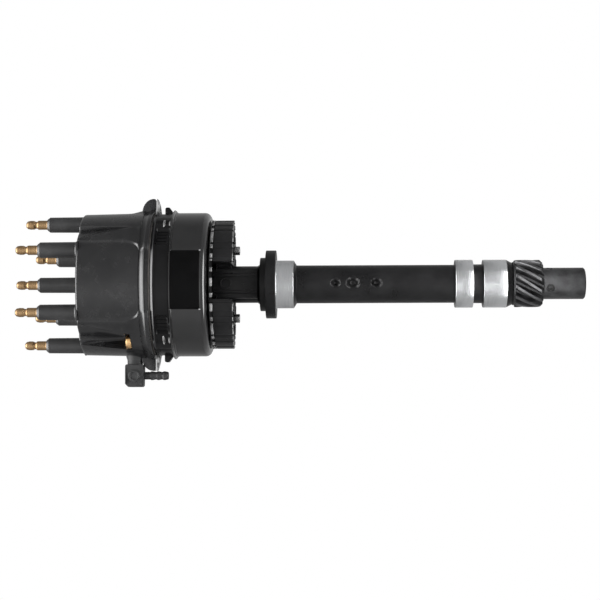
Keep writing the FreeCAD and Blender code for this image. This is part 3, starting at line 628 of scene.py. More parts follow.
def add_turned(form, outline, place, axis, segments=48, material=0):
    """Add a form turned about any axis, its outline's height running along that axis from place."""
    part = bmesh.new()
    add_lathe(part, outline, segments, closed=False, material=material)
    turn = UP.rotation_difference(axis).to_matrix().to_4x4()
    turn.translation = place
    bmesh.ops.transform(part, matrix=turn, verts=part.verts)
    merge(form, part)


# Housing

NOSE_LENGTH = 4.4 * MM
LOWER_BAND_LENGTH = 15.3 * MM
OIL_GROOVE_LENGTH = 6.7 * MM
UPPER_BAND_LENGTH = 11.9 * MM
UPPER_PILOT_LENGTH = 11.7 * MM
FLANGE_THICKNESS = 6.8 * MM
COLLAR_TOP = 10.65 * MM
NECK_FOOT = 12.4 * MM
NOSE_RADIUS = 13.75 * MM
PILOT_RADIUS = 16.0 * MM
GROOVE_RADIUS = 13.0 * MM
TUBE_RADIUS = 12.7 * MM
FLANGE_RADIUS = 22.8 * MM
COLLAR_RADIUS = 17.9 * MM
NECK_RADIUS = 12.3 * MM
RING_RADIUS = 43.0 * MM
BASE_SCREW_CIRCLE = 22.7 * MM
GUSSET_ANGLES = (45.0, 135.0, 180.0, 225.0, 315.0)
EAR_REACH = 57.8 * MM
NOTCH_HALF_WIDTH = NECK_RADIUS - 0.2 * MM
# Each dimple's radius, distance below the flange and height of rim, in millimetres, and where they lie.
DIMPLES = ((2.7, 39.5, 0.4), (3.9, 51.1, 0.5), (3.1, 66.7, 0.4))
DIMPLES_FOOT = -73.0 * MM
DIMPLES_TOP = -34.0 * MM
DIMPLES_ROWS = 78
DIMPLES_HALF_ANGLE = 25.0


def sunk_by_dimples(angle, height, settings):
    """How far the tube's skin sinks at a place, for the dimples left by the casting's ejectors."""
    depth = 0.0
    for radius, drop, rim in DIMPLES:
        across = math.radians(off_angle(angle, 0.0)) * TUBE_RADIUS
        away = math.hypot(across, height + drop * MM) / MM
        inside = 1.0 - smoothstep(settings.dimple_bed * radius, radius, away)
        around = smoothstep(radius - 0.2, radius + 0.3, away)
        around *= 1.0 - smoothstep(radius + 0.4, radius + 0.9, away)
        depth += settings.dimple_depth * inside - rim * MM * around
    return depth


def build_shank(form, settings, ring_foot):
    """Shank, pilots, flange, collar and neck, turned in one outline."""
    foot = low("housing")
    bore = reach("lower_bushing")
    lower_band_foot = foot + NOSE_LENGTH
    groove_foot = lower_band_foot + LOWER_BAND_LENGTH
    upper_band_foot = groove_foot + OIL_GROOVE_LENGTH
    tube_foot = upper_band_foot + UPPER_BAND_LENGTH
    neck_top = ring_foot + 4.0 * MM
    outline = [
        (bore, foot),
        (NOSE_RADIUS, foot),
        (PILOT_RADIUS, lower_band_foot),
        (PILOT_RADIUS, groove_foot),
        (GROOVE_RADIUS, groove_foot),
        (GROOVE_RADIUS, upper_band_foot),
        (PILOT_RADIUS, upper_band_foot),
        (PILOT_RADIUS, tube_foot),
        (TUBE_RADIUS, tube_foot),
        (TUBE_RADIUS, -UPPER_PILOT_LENGTH - 2.0 * MM),
        (PILOT_RADIUS, -UPPER_PILOT_LENGTH),
        (PILOT_RADIUS, 0.0),
        (FLANGE_RADIUS, 0.0),
        (FLANGE_RADIUS, FLANGE_THICKNESS),
        (COLLAR_RADIUS, FLANGE_THICKNESS),
        (COLLAR_RADIUS, COLLAR_TOP),
        (13.65 * MM, COLLAR_TOP),
        (NECK_RADIUS, NECK_FOOT),
        (NECK_RADIUS, neck_top),
        (bore, neck_top),
    ]
    soft = softened(outline, settings.edge_radius, 3)
    rows = []
    for start, end in zip(soft, soft[1:]):
        rows.append(start)
        if abs(start[0] - TUBE_RADIUS) < 1e-5 and abs(end[0] - TUBE_RADIUS) < 1e-5:
            for step in range(DIMPLES_ROWS + 1):
                rows.append((TUBE_RADIUS, DIMPLES_FOOT + (DIMPLES_TOP - DIMPLES_FOOT) * step / DIMPLES_ROWS))
    rows.append(soft[-1])

    def warp(angle, radius, height):
        """Sink the dimples into the tube."""
        if abs(radius - TUBE_RADIUS) > 1e-6 or abs(off_angle(angle, 0.0)) > DIMPLES_HALF_ANGLE:
            return radius, height
        return radius - sunk_by_dimples(angle, height, settings), height

    add_lathe(form, rows, 180, warp)
    for face in form.faces:
        centre = face.calc_center_median()
        if centre.xy.length > PILOT_RADIUS - 0.12 * MM and centre.z < -0.05 * MM:
            face.material_index = 1


def rib_form(settings, foot, top, half_angle, radius):
    """One rib of the ring as a curved block about angle 0."""
    part = bmesh.new()
    inner = radius - settings.rib_depth - 0.6 * MM
    steps = max(2, round(half_angle))
    angles = [-half_angle + 2 * half_angle * step / steps for step in range(steps + 1)]
    corners = [(radius, angle) for angle in angles] + [(inner, angle) for angle in reversed(angles)]
    rows = [[part.verts.new(at(out, angle, height)) for out, angle in corners] for height in (foot, top)]
    stitch(part, rows)
    close_ends(part, rows)
    rounded = bmesh.new()
    merge(rounded, part, 0.35 * MM)
    return rounded


def build_ring(form, settings, ring_foot, ring_top):
    """Ribbed ring: an upturned dish with wide and narrow ribs, castellations and a notch at the neck."""
    core = RING_RADIUS - settings.rib_depth
    inside = RING_RADIUS - 5.0 * MM
    band_foot = ring_top - settings.band_height
    floor = ring_top - 3.2 * MM
    outline = [
        (NECK_RADIUS - 2.0 * MM, floor),
        (inside, floor),
        (inside, ring_foot + 0.3 * MM),
        (core, ring_foot + 0.3 * MM),
        (core, band_foot),
        (core - 0.8 * MM, band_foot + 0.3 * MM),
        (core - 0.8 * MM, ring_top - 0.9 * MM),
        (core + 0.6 * MM, ring_top - 0.4 * MM),
        (core + 0.3 * MM, ring_top),
        (NECK_RADIUS - 2.0 * MM, ring_top),
    ]
    part = bmesh.new()
    add_lathe(part, softened(outline, 0.3 * MM, 2), 192)
    # The treads on the ribs' ends take the pale paint, material 2: a painted highlight on their rounded
    # edges.
    treads = ((ring_foot - 0.1 * MM, ring_foot + 0.7 * MM), (band_foot + 0.2 * MM, ring_top - 0.5 * MM))
    for half_angle, count, first in rib_spans(settings):
        add_copies(part, rib_form(settings, ring_foot, band_foot, half_angle, RING_RADIUS), count, first)
        for foot, top in treads:
            tread = rib_form(settings, foot, top, half_angle - 0.6, RING_RADIUS + 0.06 * MM)
            add_copies(part, tread, count, first, 2)
    cut = [face for face in part.faces if in_notch(face.calc_center_median(), band_foot)]
    bmesh.ops.delete(part, geom=cut, context="FACES")
    for vert in part.verts:
        share = (band_foot - vert.co.z) / (band_foot - ring_foot)
        if share > 0.0:
            vert.co.z += settings.foot_slope * share * vert.co.y / RING_RADIUS
    merge(form, part)
    half = NOTCH_HALF_WIDTH
    front = -math.sqrt((RING_RADIUS - 0.4 * MM) ** 2 - half ** 2)
    for side in SIDES:
        add_side_block(form, side, half, half + 2.4 * MM, front, -NECK_RADIUS * 0.4, ring_foot + 0.2 * MM,
                       ring_top - 0.5 * MM, 0.5 * MM)
    for angle in GUSSET_ANGLES:
        gusset = bmesh.new()
        add_block(gusset, (-1.5 * MM, -inside - 1.0 * MM, ring_foot + 1.2 * MM),
                  (1.5 * MM, -NECK_RADIUS + 1.8 * MM, floor + 0.5 * MM), 0.5 * MM)
        add_copies(form, gusset, 1, angle)
    boss = [(4.6 * MM, floor + 0.4 * MM), (4.6 * MM, ring_foot), (2.1 * MM, ring_foot), (2.1 * MM, floor)]
    for angle in (90.0, 270.0):
        add_lathe(form, softened(boss, 0.4 * MM), 32, centre=at(BASE_SCREW_CIRCLE, angle).xy, closed=False)


def rib_spans(settings):
    """Half angle, count and first angle of the ring's ribs: wide ones at the quarters, slim ones between."""
    phase = settings.rib_phase
    return (
        (settings.wide_rib_half_angle, 4, phase + 45.0),
        (settings.narrow_rib_half_angle, 4, phase),
        (settings.narrow_rib_half_angle, 8, phase + 22.5),
        (settings.slim_rib_half_angle, 16, phase + 11.25),
    )


def in_notch(place, band_foot):
    """Whether a point of the ring lies in the notch that clears the neck on the label side."""
    below = place.z <= band_foot - 0.05 * MM
    return below and abs(place.x) < NOTCH_HALF_WIDTH and place.y < -NECK_RADIUS * 0.5


def build_neck_pad(form, settings, ring_top):
    """Flat pad up the front of the neck, with the round mark of the casting's core."""
    front = -settings.pad_reach
    half = settings.pad_width / 2
    foot = NECK_FOOT - 0.4 * MM
    top = ring_top - 0.4 * MM
    back = -NECK_RADIUS * 0.5
    face = front + 0.5 * MM
    add_block(form, (-half + 0.4 * MM, face, foot), (half - 0.4 * MM, back, top), 0.2 * MM)
    for side in SIDES:
        add_side_block(form, side, half - 2.0 * MM, half, front, back, foot, top, 0.35 * MM)
        outer = half + 3.4 * MM
        add_side_block(form, side, half - 0.5 * MM, outer, front + 0.9 * MM, back, foot, top, 0.35 * MM)
    rim = settings.mark_radius
    mark = [(rim - 0.9 * MM, -0.4 * MM), (rim - 0.9 * MM, 0.8 * MM), (rim, 0.8 * MM), (rim, -0.4 * MM)]
    add_turned(form, softened(mark, 0.3 * MM), Vector((0.0, face, settings.mark_height)), FRONT)
    height = settings.mark_height - 12.0 * MM
    for tall, across in ((3.0 * MM, 0.3 * MM), (0.3 * MM, 2.0 * MM)):
        add_block(form, (-across / 2, face - 0.2 * MM, height - tall / 2),
                  (across / 2, face + 0.4 * MM, height + tall / 2))


# Bowl and the bare place of its label

BOWL_RADIUS = 48.1 * MM
BOWL_WALL = 2.4 * MM
BOWL_FLOOR = 3.0 * MM
BOWL_HOLE = 12.0 * MM
FLARE_FADE = 24.0
LABEL_STEPS = 48
LABEL_EDGE = 0.15 * MM
OUTER_PIP_TURN = 13.0


def build_bowl(settings):
    """Drawn bowl with a round shoulder, a rolled lip and a flare under each of the adapter's tabs."""
    foot = low("bowl")
    top = high("bowl")
    wall = BOWL_RADIUS
    lip_foot = top - settings.lip_height
    shoulder = settings.shoulder_radius
    inside = wall - BOWL_WALL
    floor = foot + BOWL_FLOOR
    lip_band = [
        (wall, lip_foot - 7.0 * MM),
        (wall, lip_foot - 1.0 * MM),
        (wall - 0.3 * MM, lip_foot - 0.3 * MM),
        (wall - 0.1 * MM, lip_foot),
        (wall + 0.45 * MM, lip_foot + 0.25 * MM),
        (wall + 0.5 * MM, top - 0.3 * MM),
        (wall + 0.2 * MM, top),
        (inside, top),
    ]
    outline = [(BOWL_HOLE, foot)] + bend((wall - shoulder, foot + shoulder), shoulder, -90.0, 0.0, 14)
    outline += densified(lip_band, 0.4 * MM)
    outline += [(inside, floor + 2.0 * MM), (inside - 2.0 * MM, floor), (BOWL_HOLE, floor)]

    def warp(angle, radius, height):
        """Swell the wall's upper edge out under the adapter's tabs."""
        if radius < wall - 0.6 * MM:
            return radius, height
        away = min(abs(off_angle(angle, 90.0)), abs(off_angle(angle, 270.0)))
        share = 1.0 - smoothstep(settings.flare_end - FLARE_FADE, settings.flare_end, away)
        crease = top - settings.flare_drop * share
        return radius + settings.flare_slope * share * max(0.0, height - crease), height

    return lathe("bowl_shell", outline, 240, warp)


def build_label_place(settings):
    """Bare rectangle where a label sat, with its small pips, laid on the bowl's wall."""
    form = bmesh.new()
    foot = low("bowl") + settings.label_drop
    top = high("bowl") - settings.label_margin
    half_angle = settings.label_half_angle
    rows = []
    for height, rise in ((foot, 0.0), (foot + LABEL_EDGE, settings.label_rise),
                         (top - LABEL_EDGE, settings.label_rise), (top, 0.0)):
        row = []
        for step in range(LABEL_STEPS + 1):
            angle = half_angle * (2 * step / LABEL_STEPS - 1)
            radius = BOWL_RADIUS + (0.0 if step in (0, LABEL_STEPS) else rise)
            row.append(form.verts.new(at(radius, angle, height)))
        rows.append(row)
    for lower, upper in zip(rows, rows[1:]):
        for step in range(LABEL_STEPS):
            form.faces.new([lower[step], lower[step + 1], upper[step + 1], upper[step]])
    dome = [(0.0, 0.22 * MM), (0.35 * MM, 0.16 * MM), (0.55 * MM, 0.0), (0.55 * MM, -0.2 * MM)]
    for side in SIDES:
        for turn, height in ((0.0, foot), (0.0, top), (OUTER_PIP_TURN, top + 0.2 * MM)):
            angle = side * (half_angle + turn)
            add_turned(form, dome, at(BOWL_RADIUS, angle, height), at(1.0, angle), 16, 1)
    return finish_mesh(form, "label_place")


# Adapter ring and gasket

ADAPTER_RADIUS = 47.4 * MM
ADAPTER_RIM = 48.3 * MM
ADAPTER_WALL = 3.6 * MM
EAR_ROOT = 45.6 * MM
EAR_TIP = EAR_REACH - 0.1 * MM
EAR_HALF_WIDTH = 4.0 * MM
TAB_TIP = 52.0 * MM
FIN_PITCH = 3.6
FIN_HALF_WIDTH = 0.35 * MM
# Each painted highlight spot's height over the adapter's foot and half length.
HIGHLIGHT_SPOTS = ((4.6 * MM, 4.6 * MM), (0.8 * MM, 3.2 * MM))
GASKET_INSIDE = 43.9 * MM


def build_adapter(settings):
    """Moulded adapter ring with a rim, recesses with fine fins, and an ear at each side."""
    foot = low("adapter_ring")
    top = high("adapter_ring")
    rim_foot = top - 2.5 * MM
    slope_foot = top - 2.0 * MM
    outer = ADAPTER_RADIUS
    rim = ADAPTER_RIM
    inside = outer - ADAPTER_WALL
    outline = [(inside, foot), (outer, foot), (outer, rim_foot), (rim, rim_foot), (rim, slope_foot),
               (rim - 0.9 * MM, top - 0.6 * MM), (rim - 1.3 * MM, top), (inside, top)]
    rows = densified(softened(outline, 0.35 * MM, 2) + [(inside, foot)], 0.8 * MM)[:-1]

    def warp(angle, radius, height):
        """Sink the recesses and raise the rounded bosses over the screws."""
        if radius < outer - 0.6 * MM:
            return radius, height
        change = 0.0
        if height < rim_foot + 0.1 * MM:
            away = min(abs(off_angle(angle, centre)) for centre in settings.recess_angles)
            sunk = 1.0 - smoothstep(settings.recess_half_angle - 0.8, settings.recess_half_angle, away)
            sunk *= smoothstep(foot + 0.7 * MM, foot + 1.3 * MM, height)
            sunk *= 1.0 - smoothstep(rim_foot - 0.8 * MM, rim_foot - 0.2 * MM, height)
            change = -settings.recess_depth * sunk
        away = min(abs(off_angle(angle, centre)) for centre in settings.boss_angles)
        bulge = 1.0 - smoothstep(3.5, 6.0, away)
        if bulge > 0.0:
            change = max(change, settings.boss_reach * bulge)
        return min(radius + change, rim + 0.25 * MM), height

    form = bmesh.new()
    add_lathe(form, rows, 300, warp)
    for face in form.faces:
        centre = face.calc_center_median()
        if centre.z > slope_foot and centre.xy.length > rim - 1.0 * MM:
            face.material_index = 2
    for centre in settings.recess_angles:
        for shift in (-FIN_PITCH, 0.0, FIN_PITCH):
            fin = bmesh.new()
            add_block(fin, (-FIN_HALF_WIDTH, -outer + 1.5 * MM, foot + 0.6 * MM),
                      (FIN_HALF_WIDTH, -outer + 2.6 * MM, rim_foot), 0.15 * MM)
            add_copies(form, fin, 1, centre + shift)
    # Pale pads beside the bosses, material 1: painted highlights, the lens-shaped glints of the bosses'
    # rounded edges.
    for centre in settings.worn_angles:
        for rise, half_length in HIGHLIGHT_SPOTS:
            pad = bmesh.new()
            bmesh.ops.create_uvsphere(pad, u_segments=24, v_segments=12, radius=1.0)
            bmesh.ops.scale(pad, vec=(half_length, 1.3 * MM, 0.8 * MM), verts=pad.verts)
            bmesh.ops.translate(pad, vec=(0.0, -outer, foot + rise), verts=pad.verts)
            add_copies(form, pad, 1, centre, 1)
    across = EAR_TIP - rim
    ear = [(EAR_ROOT, top - 2.6 * MM), (rim, top - 2.6 * MM), (rim + across * 0.5, top - 1.9 * MM),
           (rim + across * 0.85, top - 0.9 * MM), (EAR_TIP, top - 0.4 * MM), (EAR_TIP, top - 0.05 * MM),
           (EAR_ROOT, top - 0.05 * MM)]
    tab_foot = foot + 3.9 * MM
    tab_top = tab_foot + 2.9 * MM
    tab = [(EAR_ROOT, foot + 1.0 * MM), (outer + 0.45 * MM, foot + 1.0 * MM), (TAB_TIP, tab_foot),
           (TAB_TIP, tab_top), (EAR_ROOT, tab_top)]
    for side in SIDES:
        # Each ear takes the pale paint, material 1: a painted highlight along its edges.
        add_lug(form, side, softened(ear, 0.2 * MM, 2, True), EAR_HALF_WIDTH, 0.15 * MM, 1)
        add_lug(form, side, softened(tab, 1.3 * MM, 4, True), 3.0 * MM, 0.5 * MM)
    return finish_mesh(form, "adapter_moulding")


def add_lug(form, side, outline, half_width, bevel, material=0):
    """Web at one side from corners of (radius, height), with rounded edges."""
    part = bmesh.new()
    add_prism(part, outline, 2 * half_width, FRONT * half_width, RIGHT * side, UP, BACK)
    for face in part.faces:
        face.material_index = material
    merge(form, part, bevel)


def build_gasket():
    """Sheet gasket between the adapter ring and the cap."""
    foot = low("cap_gasket")
    top = high("cap_gasket")
    tip = reach("cap_gasket")
    outline = [(GASKET_INSIDE, foot), (ADAPTER_RADIUS, foot), (ADAPTER_RADIUS, top), (GASKET_INSIDE, top)]
    form = bmesh.new()
    add_lathe(form, softened(outline, 0.15 * MM, 2, True), 144)
    tab_foot = foot + 0.02 * MM
    tab_top = top - 0.02 * MM
    tab = [(GASKET_INSIDE, tab_foot), (tip, tab_foot), (tip, tab_top), (GASKET_INSIDE, tab_top)]
    for side in SIDES:
        add_lug(form, side, tab, EAR_HALF_WIDTH, 0.15 * MM)
    return finish_mesh(form, "gasket_sheet")


# Cap, its towers, screws and terminals

CAP_INSIDE = 45.0 * MM
CAP_FLANGE_RADIUS = 48.9 * MM
CAP_CEILING_DEPTH = 4.3 * MM
CAP_WALL = 2.6 * MM
CAP_BOSS_RADIUS = 14.0 * MM
CAP_BOSS_RISE = 0.8 * MM
CAP_CORE_RADIUS = 8.0 * MM
CHANNEL_ANGLE = 60.0
CHANNEL_STEPS = 12
TOWER_RECESS_RADIUS = 3.5 * MM
TOWER_RECESS_DEPTH = 0.8 * MM
TOWER_FILLET = 1.4 * MM
FIRST_TOWER_ANGLE = 30.0
# Radius and distance below the tip, in millimetres, up a terminal from its barrel.
TERMINAL_OUTLINE = ((3.1, 8.1), (2.35, 7.3), (2.35, 6.4), (2.95, 5.2), (3.0, 3.0), (2.6, 1.0), (1.6, 0.0),
                    (0.0, 0.0))


def cap_quarter(share, settings, with_channel):
    """Angles and radii of the cap's skin over a quarter turn, at a share of its height from base to front.

    Below the wall, at a share from 0 down to -1, the panel comes out to the wall's radius.
    """
    sunk = settings.panel_depth * (1.0 + min(0.0, share))
    share = max(0.0, share)
    wall = mixed(settings.base_radius, settings.face_radius, share)
    ridge = mixed(settings.ridge_base_angle, settings.ridge_face_angle, share)
    far = settings.channel_face_angle if with_channel else settings.hollow_face_angle
    hollow_end = mixed(settings.hollow_base_angle, far, share)
    depth = settings.hollow_depth * smoothstep(0.04, 0.75, share)
    toward_corner = 1.0 - min(1.0, share / settings.corner_share)
    panel = settings.panel_angle - settings.corner_angle * (1.0 - math.sqrt(1.0 - toward_corner ** 2))
    section = [((panel - 1.3) * step / 14, wall - sunk) for step in range(15)]
    section += [(panel - 0.9, wall - 0.9 * sunk), (panel - 0.1, wall - 0.3 * sunk), (panel + 0.6, wall)]
    section += [(mixed(panel + 0.6, ridge, step / 4), wall) for step in range(1, 4)]
    gap = hollow_end - ridge
    rise = settings.ridge_rise * smoothstep(0.0, 0.3, share)
    section += [(ridge - 0.02 * gap, wall + rise), (ridge + 0.03 * gap, wall)]
    pocket = 0.0
    if with_channel and share > settings.seat_share - 1e-6:
        pocket = settings.pocket_depth * smoothstep(0.86, 1.0, channel_opening(share, settings))
    for step in range(1, 8):
        along = 0.03 + 0.87 * step / 7
        section.append((ridge + gap * along, wall - max(depth * along, pocket * min(1.0, 3.0 * along))))
    section += [(hollow_end - 0.04 * gap, wall - max(0.2 * depth, pocket)), (hollow_end, wall - pocket)]
    section += channel_section(share, wall, hollow_end, pocket, settings, with_channel)
    last = section[-1][0]
    for step in range(1, 17):
        angle = mixed(last, 90.0, step / 16)
        section.append((angle, wall + lug_flare(angle, share, settings)))
    return section


def channel_opening(share, settings):
    """How wide a screw channel is at a share of the wall: 1 at the screw's seat and 0 at the front."""
    return 1.0 - (share - settings.seat_share) / (1.0 - settings.seat_share)


def lug_flare(angle, share, settings):
    """How far the wall swells outwards over the lug at the cap's side."""
    near = 1.0 - smoothstep(0.0, settings.flare_half_angle, abs(off_angle(angle, 90.0)))
    return settings.flare_reach * near * (1.0 - smoothstep(0.0, settings.flare_share, share))


def channel_section(share, wall, hollow_end, pocket, settings, with_channel):
    """Angles and radii across the round channel that clears a cap screw."""
    centre = CHANNEL_ANGLE
    section = []
    if share < settings.seat_share - 1e-6 or not with_channel:
        half_angle = math.degrees(math.asin(settings.channel_radius / wall))
        start = max(hollow_end + 0.4, centre - half_angle)
        for step in range(2 * CHANNEL_STEPS + 1):
            angle = mixed(start, centre + half_angle, step / (2 * CHANNEL_STEPS))
            section.append((angle, wall + lug_flare(angle, share, settings)))
        return section
    opening = max(0.0, channel_opening(share, settings))
    half = mixed(settings.channel_tip, settings.channel_radius, opening)
    axis = mixed(settings.screw_circle, wall, (1.0 - opening) ** 2)
    half_angle = math.degrees(math.asin(min(0.99, half / wall)))
    start = hollow_end + 0.3
    deepest = max(0.0, wall - (axis - half))
    section.append((start, wall - pocket))
    for step in range(1, CHANNEL_STEPS):
        along = step / CHANNEL_STEPS
        sunk = max(pocket, deepest * along ** (0.75 - 0.5 * opening ** 2))
        section.append((mixed(start, centre, along), min(wall, wall - sunk)))
    for step in range(CHANNEL_STEPS):
        off = half_angle * step / CHANNEL_STEPS
        across = wall * math.sin(math.radians(off))
        inner = math.sqrt(max(0.0, half ** 2 - across ** 2))
        section.append((centre + off, min(wall, axis * math.cos(math.radians(off)) - inner)))
    section.append((centre + half_angle, wall))
    return section


def wall_section(share, settings):
    """Angles and radii of the cap's wall all round: channels in two quarters, plain wall in the others."""
    plain = cap_quarter(share, settings, False)
    cut = cap_quarter(share, settings, True)
    half = plain + [(180.0 - angle, radius) for angle, radius in reversed(cut[:-1])]
    back = [(180.0 + angle, radius) for angle, radius in plain[1:]]
    front = [(TURN - angle, radius) for angle, radius in reversed(cut[1:-1])]
    return half + back + front


def build_cap_skin(form, settings):
    """Cap's skin, inside and out, with the panels, hollows and screw channels of its wall."""
    foot = low("distributor_cap")
    front = settings.front_height
    flange_top = foot + settings.flange_height
    cove_top = flange_top + settings.cove_height
    edge = settings.front_edge_radius
    body_top = front - edge
    base = settings.base_radius
    seat = settings.seat_share
    rows = []

    def section_row(share, height, inset=0.0, most=1.0):
        """Row that follows the wall's section at a share of its height."""
        section = [(angle, min(radius - inset, most)) for angle, radius in wall_section(share, settings)]
        rows.append([form.verts.new(at(radius, angle, height)) for angle, radius in section])

    for radius in (CAP_CORE_RADIUS, 36.0 * MM):
        section_row(0.0, front - CAP_CEILING_DEPTH, 0.0, radius)
    for share in (0.9, (seat + 0.9) / 2, seat, seat - 1e-5):
        section_row(share, mixed(cove_top, body_top, share) - 1.5 * MM, CAP_WALL, CAP_INSIDE)
    section_row(0.0, foot, 0.0, CAP_INSIDE)
    corners = [(CAP_INSIDE, foot), (CAP_FLANGE_RADIUS, foot), (CAP_FLANGE_RADIUS, flange_top),
               (base + 0.65 * MM, flange_top)]
    for radius, height in softened(corners, 0.5 * MM, 3)[1:-1]:
        section_row(0.0, height, base - radius)
    cove = settings.cove_radius
    centre = (base - settings.cove_depth + cove, flange_top + cove * math.sin(math.radians(40.0)))
    for radius, height in bend(centre, cove, 220.0, 176.0, 9):
        section_row(min(0.0, (height - cove_top) / (cove_top - flange_top)), height, base - radius)
    shares = [0.0, 0.02, 0.05] + [mixed(0.09, seat, step / 4) for step in range(4)] + [seat - 1e-5]
    shares += [mixed(seat, 1.0, step / 40) for step in range(41)]
    for share in shares:
        section_row(share, mixed(cove_top, body_top, share))
    for out, up in bend((0.0, 0.0), 1.0, 0.0, 90.0, 5)[1:]:
        section_row(1.0, body_top + edge * up, edge * (1.0 - out))
    boss = CAP_BOSS_RADIUS
    boss_top = front + CAP_BOSS_RISE
    step_up = [(boss + 1.0 * MM, front), (boss, front), (boss - 0.5 * MM, boss_top),
               (CAP_CORE_RADIUS, boss_top)]
    face = [(radius * MM, front) for radius in (40.0, 30.0, 20.0)]
    for radius, height in face + softened(step_up, 0.3 * MM, 3):
        section_row(0.0, height, 0.0, radius)
    stitch(form, rows)
    close_ends(form, rows)


def tower_form(radius, foot, top, centre_radius):
    """One lead tower: a moulded post with a root fillet, a chamfered rim and a recessed end."""
    part = bmesh.new()
    root = radius + TOWER_FILLET
    outline = [(0.0, foot - 1.0 * MM), (root, foot - 1.0 * MM), (root, foot)]
    outline += bend((root, foot + TOWER_FILLET), TOWER_FILLET, 270.0, 180.0, 5)[1:]
    outline += softened([
        (radius, foot + TOWER_FILLET + 0.2 * MM),
        (radius - 0.15 * MM, top - 1.8 * MM),
        (radius - 1.5 * MM, top),
        (TOWER_RECESS_RADIUS, top),
        (TOWER_RECESS_RADIUS, top - TOWER_RECESS_DEPTH),
        (0.0, top - TOWER_RECESS_DEPTH),
    ], 0.35 * MM, 3)
    add_lathe(part, outline, 64, centre=(0.0, -centre_radius), closed=False)
    return part


def build_cap(settings):
    """Distributor cap with its outer towers, the centre tower and the lugs at its sides."""
    form = bmesh.new()
    build_cap_skin(form, settings)
    foot = low("distributor_cap")
    base = settings.base_radius
    edge = [(base - 2.0 * MM, foot + 0.05 * MM), (EAR_TIP, foot + 0.05 * MM)]
    for out, up in bend((0.0, 0.0), 1.0, 0.0, 90.0, 12):
        edge.append((base + (EAR_TIP - base) * out, foot + 1.4 * MM + 7.6 * MM * up))
    edge.append((base - 2.0 * MM, foot + 9.0 * MM))
    for side in SIDES:
        add_lug(form, side, edge, EAR_HALF_WIDTH, 0.6 * MM)
    front = settings.front_height
    outer = tower_form(settings.tower_radius, front, settings.tower_top, settings.tower_circle)
    add_copies(form, outer, settings.tower_count, FIRST_TOWER_ANGLE, 1)
    coil = tower_form(settings.tower_radius, front + CAP_BOSS_RISE, high("distributor_cap"), 0.0)
    add_copies(form, coil, 1, 0.0, 1)
    return finish_mesh(form, "cap_moulding", 32.0)


def terminal_form(tower_end, tip, centre_radius):
    """One male terminal: a barrel, a shallow waist and a long round head, on a collar."""
    part = bmesh.new()
    foot = tower_end - TOWER_RECESS_DEPTH
    outline = [(0.0, foot), (3.9 * MM, foot), (3.9 * MM, foot + 0.5 * MM), (3.1 * MM, foot + 0.9 * MM)]
    outline += [(radius * MM, tip - drop * MM) for radius, drop in TERMINAL_OUTLINE]
    add_lathe(part, softened(outline, 0.5 * MM, 4), 48, centre=(0.0, -centre_radius), closed=False)
    return part


def cap_screw_form(settings):
    """Slotted cheese-head screw with a domed rim, standing in the channel at angle 0."""
    part = bmesh.new()
    top = high("cap_screws")
    seat = top - 3.7 * MM
    shank = 2.1 * MM
    head = 5.0 * MM
    outline = [(0.0, seat - 1.0 * MM), (shank, seat - 1.0 * MM), (shank, seat), (head, seat),
               (head, top - 0.5 * MM), (head - 1.2 * MM, top), (0.0, top)]
    add_lathe(part, softened(outline, 0.45 * MM, 3), 48, centre=(0.0, -settings.screw_circle), closed=False)
    add_slot(part, Vector((0.0, -settings.screw_circle, top)), 0.6 * MM, head, 1.4 * MM)
    return part


def add_slot(part, place, half_width, head, depth):
    """Cut a driver's slot into the top of a head by sinking the faces between two pairs of close lines."""
    for share in (1.0, 0.999):
        for side in SIDES:
            geometry = part.verts[:] + part.edges[:] + part.faces[:]
            line = place + RIGHT * (side * half_width * share)
            bmesh.ops.bisect_plane(part, geom=geometry, plane_co=line, plane_no=RIGHT)
    for vert in part.verts:
        near = abs(vert.co.x - place.x) < half_width * 0.9995
        if near and vert.co.z > place.z - depth and (vert.co - place).xy.length < head * 1.01:
            vert.co.z = place.z - depth


# Brush spring

SPRING_WIRE_RADIUS = 0.3 * MM
SPRING_WIRE_SIDES = 8
SPRING_TURNS = 5
SPRING_STEPS = 100


def build_brush_spring():
    """Coil spring over the carbon brush: one round wire along a helix."""
    form = bmesh.new()
    wire_radius = SPRING_WIRE_RADIUS
    radius = reach("brush_spring") - wire_radius
    foot = low("brush_spring") + wire_radius
    top = high("brush_spring") - wire_radius
    circle = bend((radius, 0.0), wire_radius, 0.0, TURN, SPRING_WIRE_SIDES)[:-1]
    rings = []
    for step in range(SPRING_STEPS + 1):
        share = step / SPRING_STEPS
        angle = 90.0 + TURN * SPRING_TURNS * share
        height = mixed(foot, top, share)
        rings.append([form.verts.new(at(out, angle, height + up)) for out, up in circle])
    stitch(form, rings)
    close_ends(form, rings)
    return finish_mesh(form, "brush_spring_coil")


# Drive gear and its hub

GEAR_TEETH = 13
GEAR_BORE = 6.24 * MM
GEAR_LEVELS = 30
GEAR_TOP_CHAMFER = 0.4 * MM
TOOTH_STEPS = 16
PIN_HOLE_RADIUS = 2.43 * MM
PIN_HOLE_DEPTH = 1.6 * MM
HUB_DIMPLE_RADIUS = 1.9 * MM
HUB_DIMPLE_DEPTH = 1.1 * MM


def gear_section(settings, height, twist, chamfer):
    """Outline of all teeth at one height: rounded lands and roots, turned by the helix."""
    pitch = TURN / GEAR_TEETH
    tip = settings.tip_radius - chamfer
    root = min(settings.root_radius, tip - 0.05 * MM)
    section = []
    for tooth in range(GEAR_TEETH):
        for index in range(TOOTH_STEPS):
            share = index / TOOTH_STEPS
            rise = smoothstep(settings.root_share, 1.0 - settings.land_share, abs(share - 0.5) * 2)
            section.append(at(mixed(root, tip, rise), (tooth + share) * pitch + twist, height))
    return section


